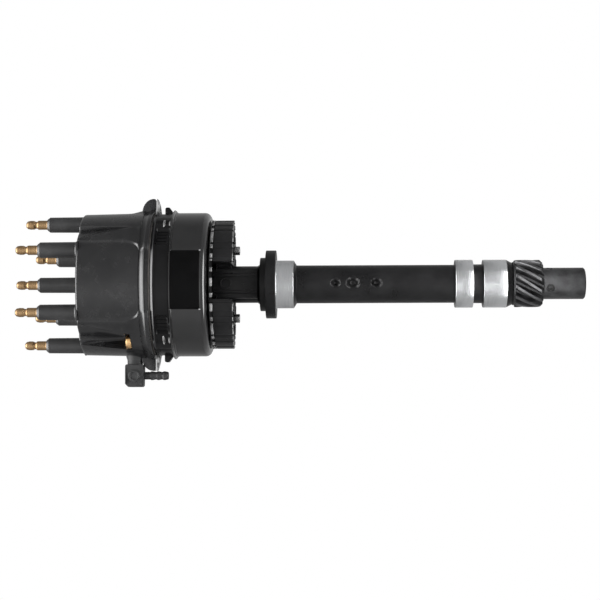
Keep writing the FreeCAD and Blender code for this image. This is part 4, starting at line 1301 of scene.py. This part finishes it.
def build_gear(settings):
    """Helical gear in one piece with its long hub: dark flanks, lighter lands and a mottled hub."""
    form = bmesh.new()
    face_length = settings.face_length
    foot = high("drive_gear") - face_length
    hub_foot = low("drive_gear")
    full_twist = math.degrees(face_length * math.tan(math.radians(settings.helix)) / settings.tip_radius)
    rows = []
    for level in range(GEAR_LEVELS + 1):
        share = level / GEAR_LEVELS
        lower_chamfer = settings.tip_chamfer - share * face_length
        chamfer = max(0.0, lower_chamfer, GEAR_TOP_CHAMFER - (1.0 - share) * face_length)
        section = gear_section(settings, foot + face_length * share, share * full_twist, chamfer)
        rows.append([form.verts.new(place) for place in section])
    stitch(form, rows)
    for face in form.faces:
        if face.calc_center_median().xy.length > settings.tip_radius - 0.35 * MM:
            face.material_index = 1
    close_ends(form, rows)
    hub = settings.hub_radius
    edge = 0.9 * MM
    outline = [
        (GEAR_BORE, hub_foot + 0.8 * MM),
        (GEAR_BORE + 0.8 * MM, hub_foot),
        (hub - edge, hub_foot),
        (hub, hub_foot + edge),
        (hub, foot - 0.6 * MM),
        (hub + 0.6 * MM, foot + 0.2 * MM),
    ]
    pin_height = foot - settings.pin_drop
    hollows = [(settings.pin_angle + turn, PIN_HOLE_RADIUS, PIN_HOLE_DEPTH) for turn in (0.0, 180.0)]
    hollows.append((settings.pin_angle + 90.0, HUB_DIMPLE_RADIUS, HUB_DIMPLE_DEPTH))

    def warp(angle, radius, height):
        """Sink the pin's hole and the dimple beside it into the hub."""
        if radius < hub - 0.1 * MM:
            return radius, height
        for centre, hole, depth in hollows:
            away = math.hypot(math.radians(off_angle(angle, centre)) * radius, height - pin_height)
            sunk = 1.0 - smoothstep(hole - 0.25 * MM, hole + 0.1 * MM, away)
            if sunk > 0.0:
                return radius - depth * sunk, height
        return radius, height

    stretch = densified(softened(outline, 0.3 * MM, 3), 0.35 * MM)
    add_lathe(form, stretch, 200, warp, closed=False, material=2)
    return finish_mesh(form, "gear_and_hub", 38.0)


# Vent fitting


def build_vent_elbow(settings):
    """Moulded elbow beside the cap, on a flared stem."""
    outer, _, foot = map(float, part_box("vent_elbow")[0])
    near, _, top = map(float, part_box("vent_elbow")[1])
    block = settings.block_length
    inner = outer + block
    depth = top - foot
    half = 6.0 * MM
    chamfer = 1.8 * MM
    corners = [(0.0, 0.0), (block, 0.0), (block, depth - chamfer), (block - chamfer, depth), (0.0, depth)]
    form = bmesh.new()
    part = bmesh.new()
    outline = softened(corners, settings.corner_radius, 6, True)
    add_prism(part, outline, 2 * half, Vector((inner, -half, foot)), -RIGHT, UP, BACK)
    for vert in part.verts:
        if vert.co.x < outer + 2.0 * MM:
            vert.co.y *= 0.66
    merge(form, part, 0.5 * MM, 3)
    root = near + 2.5 * MM
    stem_length = root - inner
    stem = [(0.0, 0.0), (6.4 * MM, 0.0), (5.9 * MM, 2.0 * MM), (5.2 * MM, stem_length * 0.6),
            (5.1 * MM, stem_length + 1.0 * MM)]
    add_turned(form, softened(stem, 0.5 * MM, 3), Vector((root, 0.0, (foot + top) / 2)), -RIGHT)
    return finish_mesh(form, "vent_elbow_moulding")


def build_vent_plug():
    """Round plug in the elbow's face, with a raised rim round a shallow dish."""
    lowest, highest = map(Vector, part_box("vent_plug"))
    middle = (lowest + highest) / 2
    radius = (highest.z - lowest.z) / 2
    outline = [
        (0.0, -0.2 * MM),
        (radius - 1.8 * MM, -0.2 * MM),
        (radius - 1.4 * MM, 0.35 * MM),
        (radius - 0.8 * MM, 0.35 * MM),
        (radius - 0.6 * MM, 0.0),
        (radius, -0.02 * MM),
        (radius, -0.6 * MM),
    ]
    form = bmesh.new()
    add_turned(form, softened(outline, 0.15 * MM, 3), Vector((middle.x, lowest.y, middle.z)), FRONT)
    return finish_mesh(form, "vent_plug_moulding")


def build_vent_barb():
    """Hose barb under the elbow, with three soft-edged rings."""
    lowest, highest = map(Vector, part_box("vent_barb"))
    middle = (lowest.x + highest.x) / 2
    crest = (highest.x - lowest.x) / 2
    core = crest - 0.4 * MM
    bore = 1.4 * MM
    top = highest.z + 0.4 * MM
    pitch = (highest.z - lowest.z - 4.0 * MM) / 3
    outline = [(bore, lowest.z), (core - 0.3 * MM, lowest.z)]
    for ring in range(3):
        start = lowest.z + ring * pitch
        outline += [(core, start + 0.5 * MM), (crest, start + pitch * 0.55), (crest, start + pitch * 0.8),
                    (core, start + pitch * 0.95)]
    outline += [(core, top), (bore, top)]
    return lathe("vent_barb_moulding", softened(outline, 0.2 * MM, 2), 48, centre=(middle, 0.0))


def build_base_screws():
    """Socket screws that hold the bowl to the ring, with round sockets, seen under the ring."""
    form = bmesh.new()
    foot = low("base_screws")
    top = high("base_screws")
    seat = foot + 3.6 * MM
    head = 2.9 * MM
    socket = 1.4 * MM
    shank = 2.0 * MM
    outline = [(0.0, foot + 1.6 * MM), (socket, foot + 1.6 * MM), (socket, foot), (head, foot), (head, seat),
               (shank, seat), (shank, top), (0.0, top)]
    screw = bmesh.new()
    add_lathe(screw, softened(outline, 0.35 * MM, 3), 36, centre=(0.0, -BASE_SCREW_CIRCLE), closed=False)
    add_copies(form, screw, 2, 90.0)
    return finish_mesh(form, "base_screw_set")


# Settings


def length(name, description, millimetres):
    """Length among the settings, given in millimetres and kept in metres."""
    return FloatProperty(name=name, description=description, default=millimetres * MM, unit="LENGTH")


def number(name, description, default):
    """Angle, share or strength among the settings."""
    return FloatProperty(name=name, description=description, default=default)


def angles(name, description, *default):
    """Four angles among the settings."""
    return FloatVectorProperty(name=name, description=description, size=4, default=default)


class ShankSettings(bpy.types.PropertyGroup):
    """Shape of the casting."""

    edge_radius: length("Edge radius", "Round on the turned edges", 0.4)
    dimple_bed: number("Dimple bed", "Flat share of a dimple's radius", 0.3)
    dimple_depth: length("Dimple depth", "Depth of the casting's dimples", 2.4)
    ring_height: length("Ring height", "Height of the ribbed ring", 14.2)
    rib_depth: length("Rib depth", "How far the ribs stand out", 0.25)
    rib_phase: number("Rib phase", "Angle of the first wide rib", -2.0)
    wide_rib_half_angle: number("Wide rib", "Half the angle of a wide rib", 7.4)
    narrow_rib_half_angle: number("Narrow rib", "Half the angle of a narrow rib", 4.2)
    slim_rib_half_angle: number("Slim rib", "Half the angle of a slim rib", 2.6)
    foot_slope: length("Foot slope", "How much lower the ring's front is than its middle", 1.7)
    band_height: length("Band height", "Height of the castellated band", 2.6)
    pad_width: length("Pad width", "Width of the flat pad on the neck", 13.2)
    pad_reach: length("Pad reach", "Distance of the pad from the axis", 14.2)
    mark_radius: length("Mark radius", "Radius of the round casting mark", 3.9)
    mark_height: length("Mark height", "Height of the round casting mark", 33.2)


class BowlSettings(bpy.types.PropertyGroup):
    """Shape of the bowl and its bare label place."""

    shoulder_radius: length("Shoulder", "Round of the bowl's lower edge", 4.0)
    lip_height: length("Lip height", "Height of the rolled lip", 1.1)
    flare_slope: number("Flare slope", "Slope of the flares under the tabs", 0.6)
    flare_drop: length("Flare drop", "How far the flares reach below the lip", 2.6)
    flare_end: number("Flare end", "Angle from a tab to the end of its flare", 54.0)
    label_half_angle: number("Label width", "Half the angle of the label place", 23.4)
    label_rise: length("Label rise", "Thickness of the label place", 0.12)
    label_drop: length("Label foot", "Distance of the label place from the bowl's foot", 4.4)
    label_margin: length("Label margin", "Distance of the label place from the bowl's top", 0.6)


class AdapterSettings(bpy.types.PropertyGroup):
    """Shape of the adapter ring."""

    recess_angles: angles("Recess angles", "Angles of the recesses", 38.0, 142.0, 218.0, 322.0)
    recess_half_angle: number("Recess width", "Half the angle of a recess", 8.5)
    recess_depth: length("Recess depth", "Depth of a recess", 1.9)
    worn_angles: angles("Worn angles", "Angles of the painted highlight spots on the bosses", 54.0, 126.0, 234.0, 306.0)
    boss_angles: angles("Boss angles", "Angles of the screw bosses", 60.0, 120.0, 240.0, 300.0)
    boss_reach: length("Boss reach", "How far a boss stands out", 0.9)


class CapSettings(bpy.types.PropertyGroup):
    """Shape of the cap and its towers."""

    front_height: length("Front height", "Height of the cap's front face", 128.3)
    front_edge_radius: length("Front edge", "Round of the front edge", 1.6)
    base_radius: length("Base radius", "Radius at the foot of the wall", 48.0)
    face_radius: length("Face radius", "Radius at the front of the wall", 47.2)
    panel_angle: number("Panel width", "Half the angle of a sunk panel", 33.5)
    panel_depth: length("Panel depth", "Depth of a panel", 1.1)
    corner_angle: number("Corner width", "Angle of a panel's round corner", 7.5)
    corner_share: number("Corner height", "Height of a panel's round corner as a share", 0.36)
    ridge_base_angle: number("Ridge foot", "Angle of the ridge at its foot", 48.5)
    ridge_face_angle: number("Ridge head", "Angle of the ridge at the front", 36.5)
    ridge_rise: length("Ridge rise", "How far the ridge stands out", 0.5)
    hollow_base_angle: number("Hollow foot", "Far angle of the hollow at its foot", 49.6)
    hollow_face_angle: number("Hollow head", "Far angle of the hollow at the front", 50.8)
    channel_face_angle: number("Channel side", "The same beside a screw channel", 54.6)
    hollow_depth: length("Hollow depth", "Depth of the hollow", 3.4)
    flange_height: length("Flange height", "Height of the cap's base flange", 2.6)
    cove_height: length("Cove height", "Height of the hollow curve over the flange", 3.8)
    cove_radius: length("Cove radius", "Round of the hollow curve", 5.0)
    cove_depth: length("Cove depth", "How far the hollow curve goes in", 0.5)
    flare_reach: length("Lug flare", "Swell of the wall over the side lugs", 2.2)
    flare_half_angle: number("Lug flare width", "Half the angle of the swell", 13.0)
    flare_share: number("Lug flare height", "Height of the swell as a share of the wall", 0.3)
    seat_share: number("Screw seat", "Height of the screw seats as a share of the wall", 0.177)
    channel_radius: length("Channel radius", "Radius of the screw channel at the seat", 6.2)
    channel_tip: length("Channel tip", "Radius of the screw channel at the front", 0.4)
    screw_circle: length("Screw circle", "Distance of the screws and their channels from the axis", 44.3)
    pocket_depth: length("Pocket depth", "Depth of the wall's cut over a screw's seat", 4.5)
    tower_count: IntProperty(name="Towers", description="Number of outer towers", default=6)
    tower_radius: length("Tower radius", "Radius of a tower", 5.25)
    tower_circle: length("Tower circle", "Distance of the towers from the axis", 40.7)
    tower_top: length("Tower top", "Height of the outer towers' ends", 154.3)


class GearSettings(bpy.types.PropertyGroup):
    """Shape of the drive gear."""

    face_length: length("Face length", "Length of the teeth", 18.6)
    tip_radius: length("Tip radius", "Radius over the tips", 15.8)
    root_radius: length("Root radius", "Radius at the roots", 12.4)
    helix: number("Helix", "Helix angle at the tips, degrees", 33.0)
    land_share: number("Land", "Share of a tooth that its land takes", 0.22)
    root_share: number("Root", "Share of a tooth that its root takes", 0.22)
    tip_chamfer: length("Tip chamfer", "Chamfer at the lower ends of the tips", 1.8)
    hub_radius: length("Hub radius", "Radius of the hub", 10.5)
    pin_drop: length("Pin drop", "Distance of the pin below the teeth", 4.7)
    pin_angle: number("Pin angle", "Angle of the pin", -21.3)


class VentSettings(bpy.types.PropertyGroup):
    """Shape of the vent fitting."""

    block_length: length("Block length", "Length of the elbow's block", 15.1)
    corner_radius: length("Corner radius", "Round of the block's corners", 1.6)


class StageSettings(bpy.types.PropertyGroup):
    """Camera, floor and light."""

    distance: length("Distance", "Distance of the camera from the shaft", 1089.0)
    side_angle: number("Side angle", "Angle of the camera from the label side", -4.3)
    height: length("Height", "Height of the camera", -46.0)
    lens: number("Lens", "Focal length, millimetres", 97.5)
    yaw: number("Yaw", "Turn towards the cap, degrees", 1.59)
    pitch: number("Pitch", "Turn across the shaft, degrees", 0.55)
    tilt: number("Tilt", "Turn about the view line, degrees", 0.2)
    floor_height: length("Floor height", "Height of the floor", -208.5)
    floor_grey: number("Floor grey", "Brightness of the floor's colour in reflections", 0.2)
    floor_glow: number("Floor glow", "Light that the floor gives to the object", 12.0)
    floor_back: number("Floor back", "The same behind the object, as a share", 0.01)
    top_light: number("Top light", "Power of the light above the cap, watts", 12.0)
    front_light: number("Front light", "Brightness of the room in front", 1.3)
    front_turn: number("Front turn", "Angle from the camera to the front light", -14.0)
    side_light: number("Side light", "Brightness of the room at the sides", 0.42)
    sky_light: number("Sky light", "Brightness of the box above the front", 9.0)
    back_light: number("Back light", "Brightness of the room behind", 0.4)


# Stage

WHITE = (1.0, 1.0, 1.0, 1.0)
FLOOR_REACH = 3.0
# Lit ring of the floor as (radius in metres, brightness), and where its front part begins and is full.
FLOOR_RING = ((0.0, 0.0), (0.12, 0.0), (0.16, 1.0), (0.24, 1.0), (0.3, 0.0))
FLOOR_FRONT = (0.08, 0.15)
# Where the sky box begins and is full, as parts of a direction that point up and to the front.
SKY_BOX_HEIGHTS = (0.68, 0.82)
SKY_BOX_FRONT = (-0.3, 0.3)
TOP_LIGHT_PLACE = (0.0, -0.35, 1.2)
TOP_LIGHT_TARGET = (0.0, 0.0, 0.1)
TOP_LIGHT_SIZE = (1.5, 0.9)
SENSOR_WIDTH = 36.0


def area_light(name, place, target, size, power):
    """Add a soft light at a place, which points at a target."""
    light = bpy.data.lights.new(name, "AREA")
    light.shape = "RECTANGLE"
    light.size, light.size_y = size
    light.energy = power
    thing = bpy.data.objects.new(name, light)
    bpy.context.collection.objects.link(thing)
    thing.location = place
    thing.rotation_euler = (Vector(target) - Vector(place)).to_track_quat("-Z", "Y").to_euler()
    return thing


def add_ramp(tree, stops):
    """Soft ramp of greys with a stop at each (position, value)."""
    node = add_node(tree, "ShaderNodeValToRGB")
    node.color_ramp.interpolation = "EASE"
    elements = node.color_ramp.elements
    while len(elements) < len(stops):
        elements.new(0.5)
    for element, (position, value) in zip(elements, stops):
        element.position = position
        element.color = (*grey(value), 1.0)
    return node


def add_soft_step(tree, first, last, lowest=0.0, highest=1.0):
    """Smooth step between two values."""
    node = add_node(tree, "ShaderNodeMapRange", From_Min=first, From_Max=last, To_Min=lowest, To_Max=highest)
    node.interpolation_type = "SMOOTHSTEP"
    return node


def add_vector_math(tree, mode, vector=None):
    """Node for one kind of vector maths, with a fixed second vector if one is given."""
    node = add_node(tree, "ShaderNodeVectorMath", mode)
    if vector is not None:
        node.inputs[1].default_value = vector
    return node


def white_world(settings):
    """White backdrop for the camera; for reflections a soft front, dim sides, a paler back and a sky box."""
    world = bpy.data.worlds.new("backdrop")
    world.use_nodes = True
    tree = world.node_tree
    tree.nodes.clear()
    output = add_node(tree, "ShaderNodeOutputWorld")
    seen = add_node(tree, "ShaderNodeBackground", Color=WHITE, Strength=1.0)
    around = add_node(tree, "ShaderNodeBackground", Color=WHITE)
    place = add_node(tree, "ShaderNodeTexCoord")
    facing = add_vector_math(tree, "DOT_PRODUCT", at(1.0, settings.side_angle + settings.front_turn))
    share = add_node(tree, "ShaderNodeMapRange", From_Min=-1.0)
    # The room's brightness from right behind the object, at 0, round to its front, at 1.
    back, side, front = settings.back_light, settings.side_light, settings.front_light
    room = add_ramp(tree, [(0.0, back), (0.25, back * 0.8), (0.52, side), (0.78, side * 1.4),
                           (0.94, front * 0.62), (1.0, front)])
    parts = add_node(tree, "ShaderNodeSeparateXYZ")
    above = add_soft_step(tree, *SKY_BOX_HEIGHTS, highest=settings.sky_light)
    ahead = add_soft_step(tree, *SKY_BOX_FRONT)
    box = add_node(tree, "ShaderNodeMath", "MULTIPLY")
    total = add_node(tree, "ShaderNodeMath", "ADD")
    path = add_node(tree, "ShaderNodeLightPath")
    mix = add_node(tree, "ShaderNodeMixShader")
    wire(tree,
         (place, "Generated", facing, 0), (facing, "Value", share, "Value"), (share, "Result", room, "Fac"),
         (facing, "Value", ahead, "Value"), (place, "Generated", parts, "Vector"),
         (parts, "Z", above, "Value"),
         (above, "Result", box, 0), (ahead, "Result", box, 1), (room, "Color", total, 0), (box, 0, total, 1),
         (total, 0, around, "Strength"), (path, "Is Camera Ray", mix, 0), (around, "Background", mix, 1),
         (seen, "Background", mix, 2), (mix, "Shader", output, "Surface"))
    bpy.context.scene.world = world


def floor_material(settings):
    """White to the camera and clear from below; for reflections grey, with a soft ring of light in front."""
    material, tree, shader = start_material("Floor White")
    skin = place_group(tree, grain_group(), Scale=300.0, Patch_Scale=4.0)
    blend_by_mask(tree, skin, shader, grey(settings.floor_grey), grey(settings.floor_grey * 1.1), (1.0, 1.0))
    set_inputs(shader, {"Specular IOR Level": 0.0, "Emission Strength": settings.floor_glow})
    place = add_node(tree, "ShaderNodeTexCoord")
    flat = add_vector_math(tree, "MULTIPLY", (1.0, 1.0, 0.0))
    away = add_vector_math(tree, "LENGTH")
    ring = add_ramp(tree, FLOOR_RING)
    front = add_vector_math(tree, "DOT_PRODUCT", at(1.0, settings.side_angle))
    share = add_soft_step(tree, *FLOOR_FRONT, lowest=settings.floor_back)
    lit = add_node(tree, "ShaderNodeMath", "MULTIPLY")
    path = add_node(tree, "ShaderNodeLightPath")
    blown = add_node(tree, "ShaderNodeEmission")
    mix = add_node(tree, "ShaderNodeMixShader")
    side = add_node(tree, "ShaderNodeNewGeometry")
    clear = add_node(tree, "ShaderNodeBsdfTransparent")
    sheet = add_node(tree, "ShaderNodeMixShader")
    wire(tree, (place, "Object", flat, 0), (flat, "Vector", away, 0), (away, "Value", ring, "Fac"),
         (place, "Object", front, 0), (front, "Value", share, "Value"), (ring, "Color", lit, 0),
         (share, "Result", lit, 1), (lit, 0, shader, "Emission Color"), (path, "Is Camera Ray", mix, 0),
         (shader, "BSDF", mix, 1), (blown, "Emission", mix, 2), (side, "Backfacing", sheet, 0),
         (mix, "Shader", sheet, 1), (clear, "BSDF", sheet, 2),
         (sheet, "Shader", tree.nodes["Material Output"], "Surface"))
    return material


def build_floor(settings):
    """Pale floor just under the hub's foot."""
    form = bmesh.new()
    corners = [(-FLOOR_REACH, -FLOOR_REACH), (FLOOR_REACH, -FLOOR_REACH), (FLOOR_REACH, FLOOR_REACH),
               (-FLOOR_REACH, FLOOR_REACH)]
    form.faces.new([form.verts.new((x, y, settings.floor_height)) for x, y in corners])
    floor = finish_mesh(form, "floor")
    floor.data.materials.append(floor_material(settings))


def build_camera(settings):
    """Camera of the photograph: on its side, so the shaft lies across the picture."""
    data = bpy.data.cameras.new("camera")
    data.lens = settings.lens
    data.sensor_width = SENSOR_WIDTH
    camera = bpy.data.objects.new("camera", data)
    bpy.context.collection.objects.link(camera)
    place = at(settings.distance, settings.side_angle, settings.height)
    right = at(1.0, settings.side_angle + 90.0)
    away = -at(1.0, settings.side_angle)
    yaw, pitch, tilt = [math.radians(turn) for turn in (settings.yaw, settings.pitch, settings.tilt)]
    look = (away * math.cos(yaw) + UP * math.sin(yaw)) * math.cos(pitch) - right * math.sin(pitch)
    picture_up = (right * math.cos(pitch) + away * math.sin(pitch)).normalized()
    picture_right = look.cross(picture_up).normalized()
    picture_up = picture_right.cross(look).normalized()
    turned_up = picture_up * math.cos(tilt) + picture_right * math.sin(tilt)
    turned_right = look.cross(turned_up).normalized()
    turned = Matrix((turned_right, turned_up, -look)).transposed()
    camera.matrix_world = Matrix.Translation(place) @ turned.to_4x4()
    bpy.context.scene.camera = camera


# Operators, one for each piece or group, and one for the stage


class DISTRIBUTOR_OT_housing(bpy.types.Operator):
    """Build the casting: shank, pilots, flange, neck and ribbed ring"""

    bl_idname = "distributor.housing"
    bl_label = "Housing"

    def execute(self, context):
        settings = context.scene.distributor_shank
        form = bmesh.new()
        ring_top = low("bowl") - 1.0 * MM
        ring_foot = ring_top - settings.ring_height
        build_shank(form, settings, ring_foot)
        build_ring(form, settings, ring_foot, ring_top)
        build_neck_pad(form, settings, ring_top)
        piece = finish_mesh(form, "shank_and_ring")
        materials = [cast_black(), pilot_aluminium(), rubbed_black()]
        settle(piece, HOUSING_BODY, "cast_black", materials, "housing")
        settle(build_base_screws(), HOUSING_BODY, "screw_steel", screw_steel(), "base_screws")
        return {"FINISHED"}


class DISTRIBUTOR_OT_bowl(bpy.types.Operator):
    """Build the bowl and the bare place of its label"""

    bl_idname = "distributor.bowl"
    bl_label = "Bowl"

    def execute(self, context):
        settings = context.scene.distributor_bowl
        settle(build_bowl(settings), HOUSING_BODY, "can_black", can_black(), "bowl")
        place = build_label_place(settings)
        settle(place, HOUSING_BODY, "can_black", [label_black(), pip_grey()])
        return {"FINISHED"}


class DISTRIBUTOR_OT_adapter(bpy.types.Operator):
    """Build the adapter ring and the gasket"""

    bl_idname = "distributor.adapter"
    bl_label = "Adapter ring"

    def execute(self, context):
        settings = context.scene.distributor_adapter
        materials = [adapter_black(), rubbed_black(), cap_black()]
        settle(build_adapter(settings), HOUSING_BODY, "adapter_black", materials, "adapter_ring")
        settle(build_gasket(), HOUSING_BODY, "gasket_cork", gasket_grey(), "cap_gasket")
        return {"FINISHED"}


class DISTRIBUTOR_OT_cap(bpy.types.Operator):
    """Build the cap, its screws and its terminals"""

    bl_idname = "distributor.cap"
    bl_label = "Cap"

    def execute(self, context):
        settings = context.scene.distributor_cap
        count = settings.tower_count
        materials = [cap_black(), tower_black()]
        settle(build_cap(settings), HOUSING_BODY, "cap_black", materials, "distributor_cap")
        form = bmesh.new()
        add_copies(form, cap_screw_form(settings), 2, 2 * CHANNEL_ANGLE)
        settle(finish_mesh(form, "cap_screw_set"), HOUSING_BODY, "screw_gold", screw_gold(), "cap_screws")
        brass = terminal_brass()
        form = bmesh.new()
        lead = terminal_form(settings.tower_top, high("lead_terminal_1"), settings.tower_circle)
        add_copies(form, lead, count, FIRST_TOWER_ANGLE)
        nodes = ["lead_terminal_" + str(order) for order in range(1, count + 1)]
        settle(finish_mesh(form, "lead_terminal_set"), HOUSING_BODY, "terminal_brass", brass, *nodes)
        form = bmesh.new()
        add_copies(form, terminal_form(high("distributor_cap"), high("coil_terminal"), 0.0))
        settle(finish_mesh(form, "coil_post"), HOUSING_BODY, "terminal_brass", brass, "coil_terminal")
        return {"FINISHED"}


class DISTRIBUTOR_OT_vent(bpy.types.Operator):
    """Build the vent's elbow, plug and barb"""

    bl_idname = "distributor.vent"
    bl_label = "Vent"

    def execute(self, context):
        settings = context.scene.distributor_vent
        grey = vent_grey()
        settle(build_vent_elbow(settings), HOUSING_BODY, "vent_grey", grey, "vent_elbow")
        settle(build_vent_plug(), HOUSING_BODY, "vent_grey", grey, "vent_plug")
        settle(build_vent_barb(), HOUSING_BODY, "vent_grey", grey, "vent_barb")
        return {"FINISHED"}


class DISTRIBUTOR_OT_gear(bpy.types.Operator):
    """Build the drive gear with its hub"""

    bl_idname = "distributor.gear"
    bl_label = "Drive gear"

    def execute(self, context):
        settings = context.scene.distributor_gear
        materials = [gear_steel(), land_steel(), hub_steel()]
        settle(build_gear(settings), ROTATING_BODY, "gear_steel", materials, "drive_gear")
        return {"FINISHED"}


class DISTRIBUTOR_OT_brush_spring(bpy.types.Operator):
    """Build the brush's coil spring, on a mesh of its own"""

    bl_idname = "distributor.brush_spring"
    bl_label = "Brush spring"

    def execute(self, context):
        spring = settle(build_brush_spring(), HOUSING_BODY, "sheet_steel", sheet_steel(), "brush_spring")
        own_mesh(spring)
        return {"FINISHED"}


class DISTRIBUTOR_OT_inner_parts(bpy.types.Operator):
    """Give every CAD node that stays its procedural material"""

    bl_idname = "distributor.inner_parts"
    bl_label = "Inner parts"

    def execute(self, context):
        looks = {
            sheet_steel(): ["oil_slinger", "sensor_plate", "trigger_wheel"],
            screw_steel(): ["sensor_screws", "wheel_clip", "rotor_screw"],
            gear_steel(): ["thrust_washers"],
            shaft_steel(): ["main_shaft"],
            bush_bronze(): ["upper_bushing", "lower_bushing"],
            seal_rubber(): ["shaft_seal", "roll_pin"],
            sensor_plastic(): ["hall_sensor"],
            rotor_plastic(): ["rotor_body"],
            terminal_brass(): ["rotor_blade", "contact_spring"],
            brush_carbon(): ["carbon_brush"],
        }
        for material, nodes in looks.items():
            for node in nodes:
                slots = bpy.data.objects[node].material_slots
                if not slots:
                    self.report({"ERROR"}, "No material slot on " + node)
                    return {"CANCELLED"}
                for slot in slots:
                    slot.material = material
        return {"FINISHED"}


class DISTRIBUTOR_OT_stage(bpy.types.Operator):
    """Set up the backdrop, floor, lights and camera"""

    bl_idname = "distributor.stage"
    bl_label = "Stage"

    def execute(self, context):
        settings = context.scene.distributor_stage
        build_camera(settings)
        white_world(settings)
        build_floor(settings)
        area_light("top_light", TOP_LIGHT_PLACE, TOP_LIGHT_TARGET, TOP_LIGHT_SIZE, settings.top_light)
        view = context.scene.view_settings
        view.view_transform = "Standard"
        view.look = "None"
        view.exposure = 0.0
        view.gamma = 1.0
        return {"FINISHED"}


# Panel, registration and the run in order


class DISTRIBUTOR_PT_panel(bpy.types.Panel):
    """Panel with one button for each piece and their settings"""

    bl_idname = "DISTRIBUTOR_PT_panel"
    bl_label = "Ignition distributor"
    bl_space_type = "VIEW_3D"
    bl_region_type = "UI"
    bl_category = "Distributor"

    def draw(self, context):
        for operator in OPERATORS:
            self.layout.operator(operator.bl_idname)
        for name in SETTINGS:
            group = getattr(context.scene, name)
            for key in group.__annotations__:
                self.layout.prop(group, key)


SETTINGS = {
    "distributor_shank": ShankSettings,
    "distributor_bowl": BowlSettings,
    "distributor_adapter": AdapterSettings,
    "distributor_cap": CapSettings,
    "distributor_gear": GearSettings,
    "distributor_vent": VentSettings,
    "distributor_stage": StageSettings,
}
OPERATORS = [
    DISTRIBUTOR_OT_housing,
    DISTRIBUTOR_OT_bowl,
    DISTRIBUTOR_OT_adapter,
    DISTRIBUTOR_OT_cap,
    DISTRIBUTOR_OT_vent,
    DISTRIBUTOR_OT_gear,
    DISTRIBUTOR_OT_brush_spring,
    DISTRIBUTOR_OT_inner_parts,
    DISTRIBUTOR_OT_stage,
]


def register():
    """Register the settings, operators and panel."""
    for name, group in SETTINGS.items():
        bpy.utils.register_class(group)
        setattr(bpy.types.Scene, name, PointerProperty(type=group))
    for operator in OPERATORS:
        bpy.utils.register_class(operator)
    bpy.utils.register_class(DISTRIBUTOR_PT_panel)


def unregister():
    """Take the panel, operators and settings away again."""
    bpy.utils.unregister_class(DISTRIBUTOR_PT_panel)
    for operator in reversed(OPERATORS):
        bpy.utils.unregister_class(operator)
    for name, group in reversed(SETTINGS.items()):
        delattr(bpy.types.Scene, name)
        bpy.utils.unregister_class(group)


def main():
    """Build the whole distributor and its stage."""
    register()
    bpy.ops.distributor.housing()
    bpy.ops.distributor.bowl()
    bpy.ops.distributor.adapter()
    bpy.ops.distributor.cap()
    bpy.ops.distributor.vent()
    bpy.ops.distributor.gear()
    bpy.ops.distributor.brush_spring()
    bpy.ops.distributor.inner_parts()
    bpy.ops.distributor.stage()


if __name__ == "__main__":
    main()
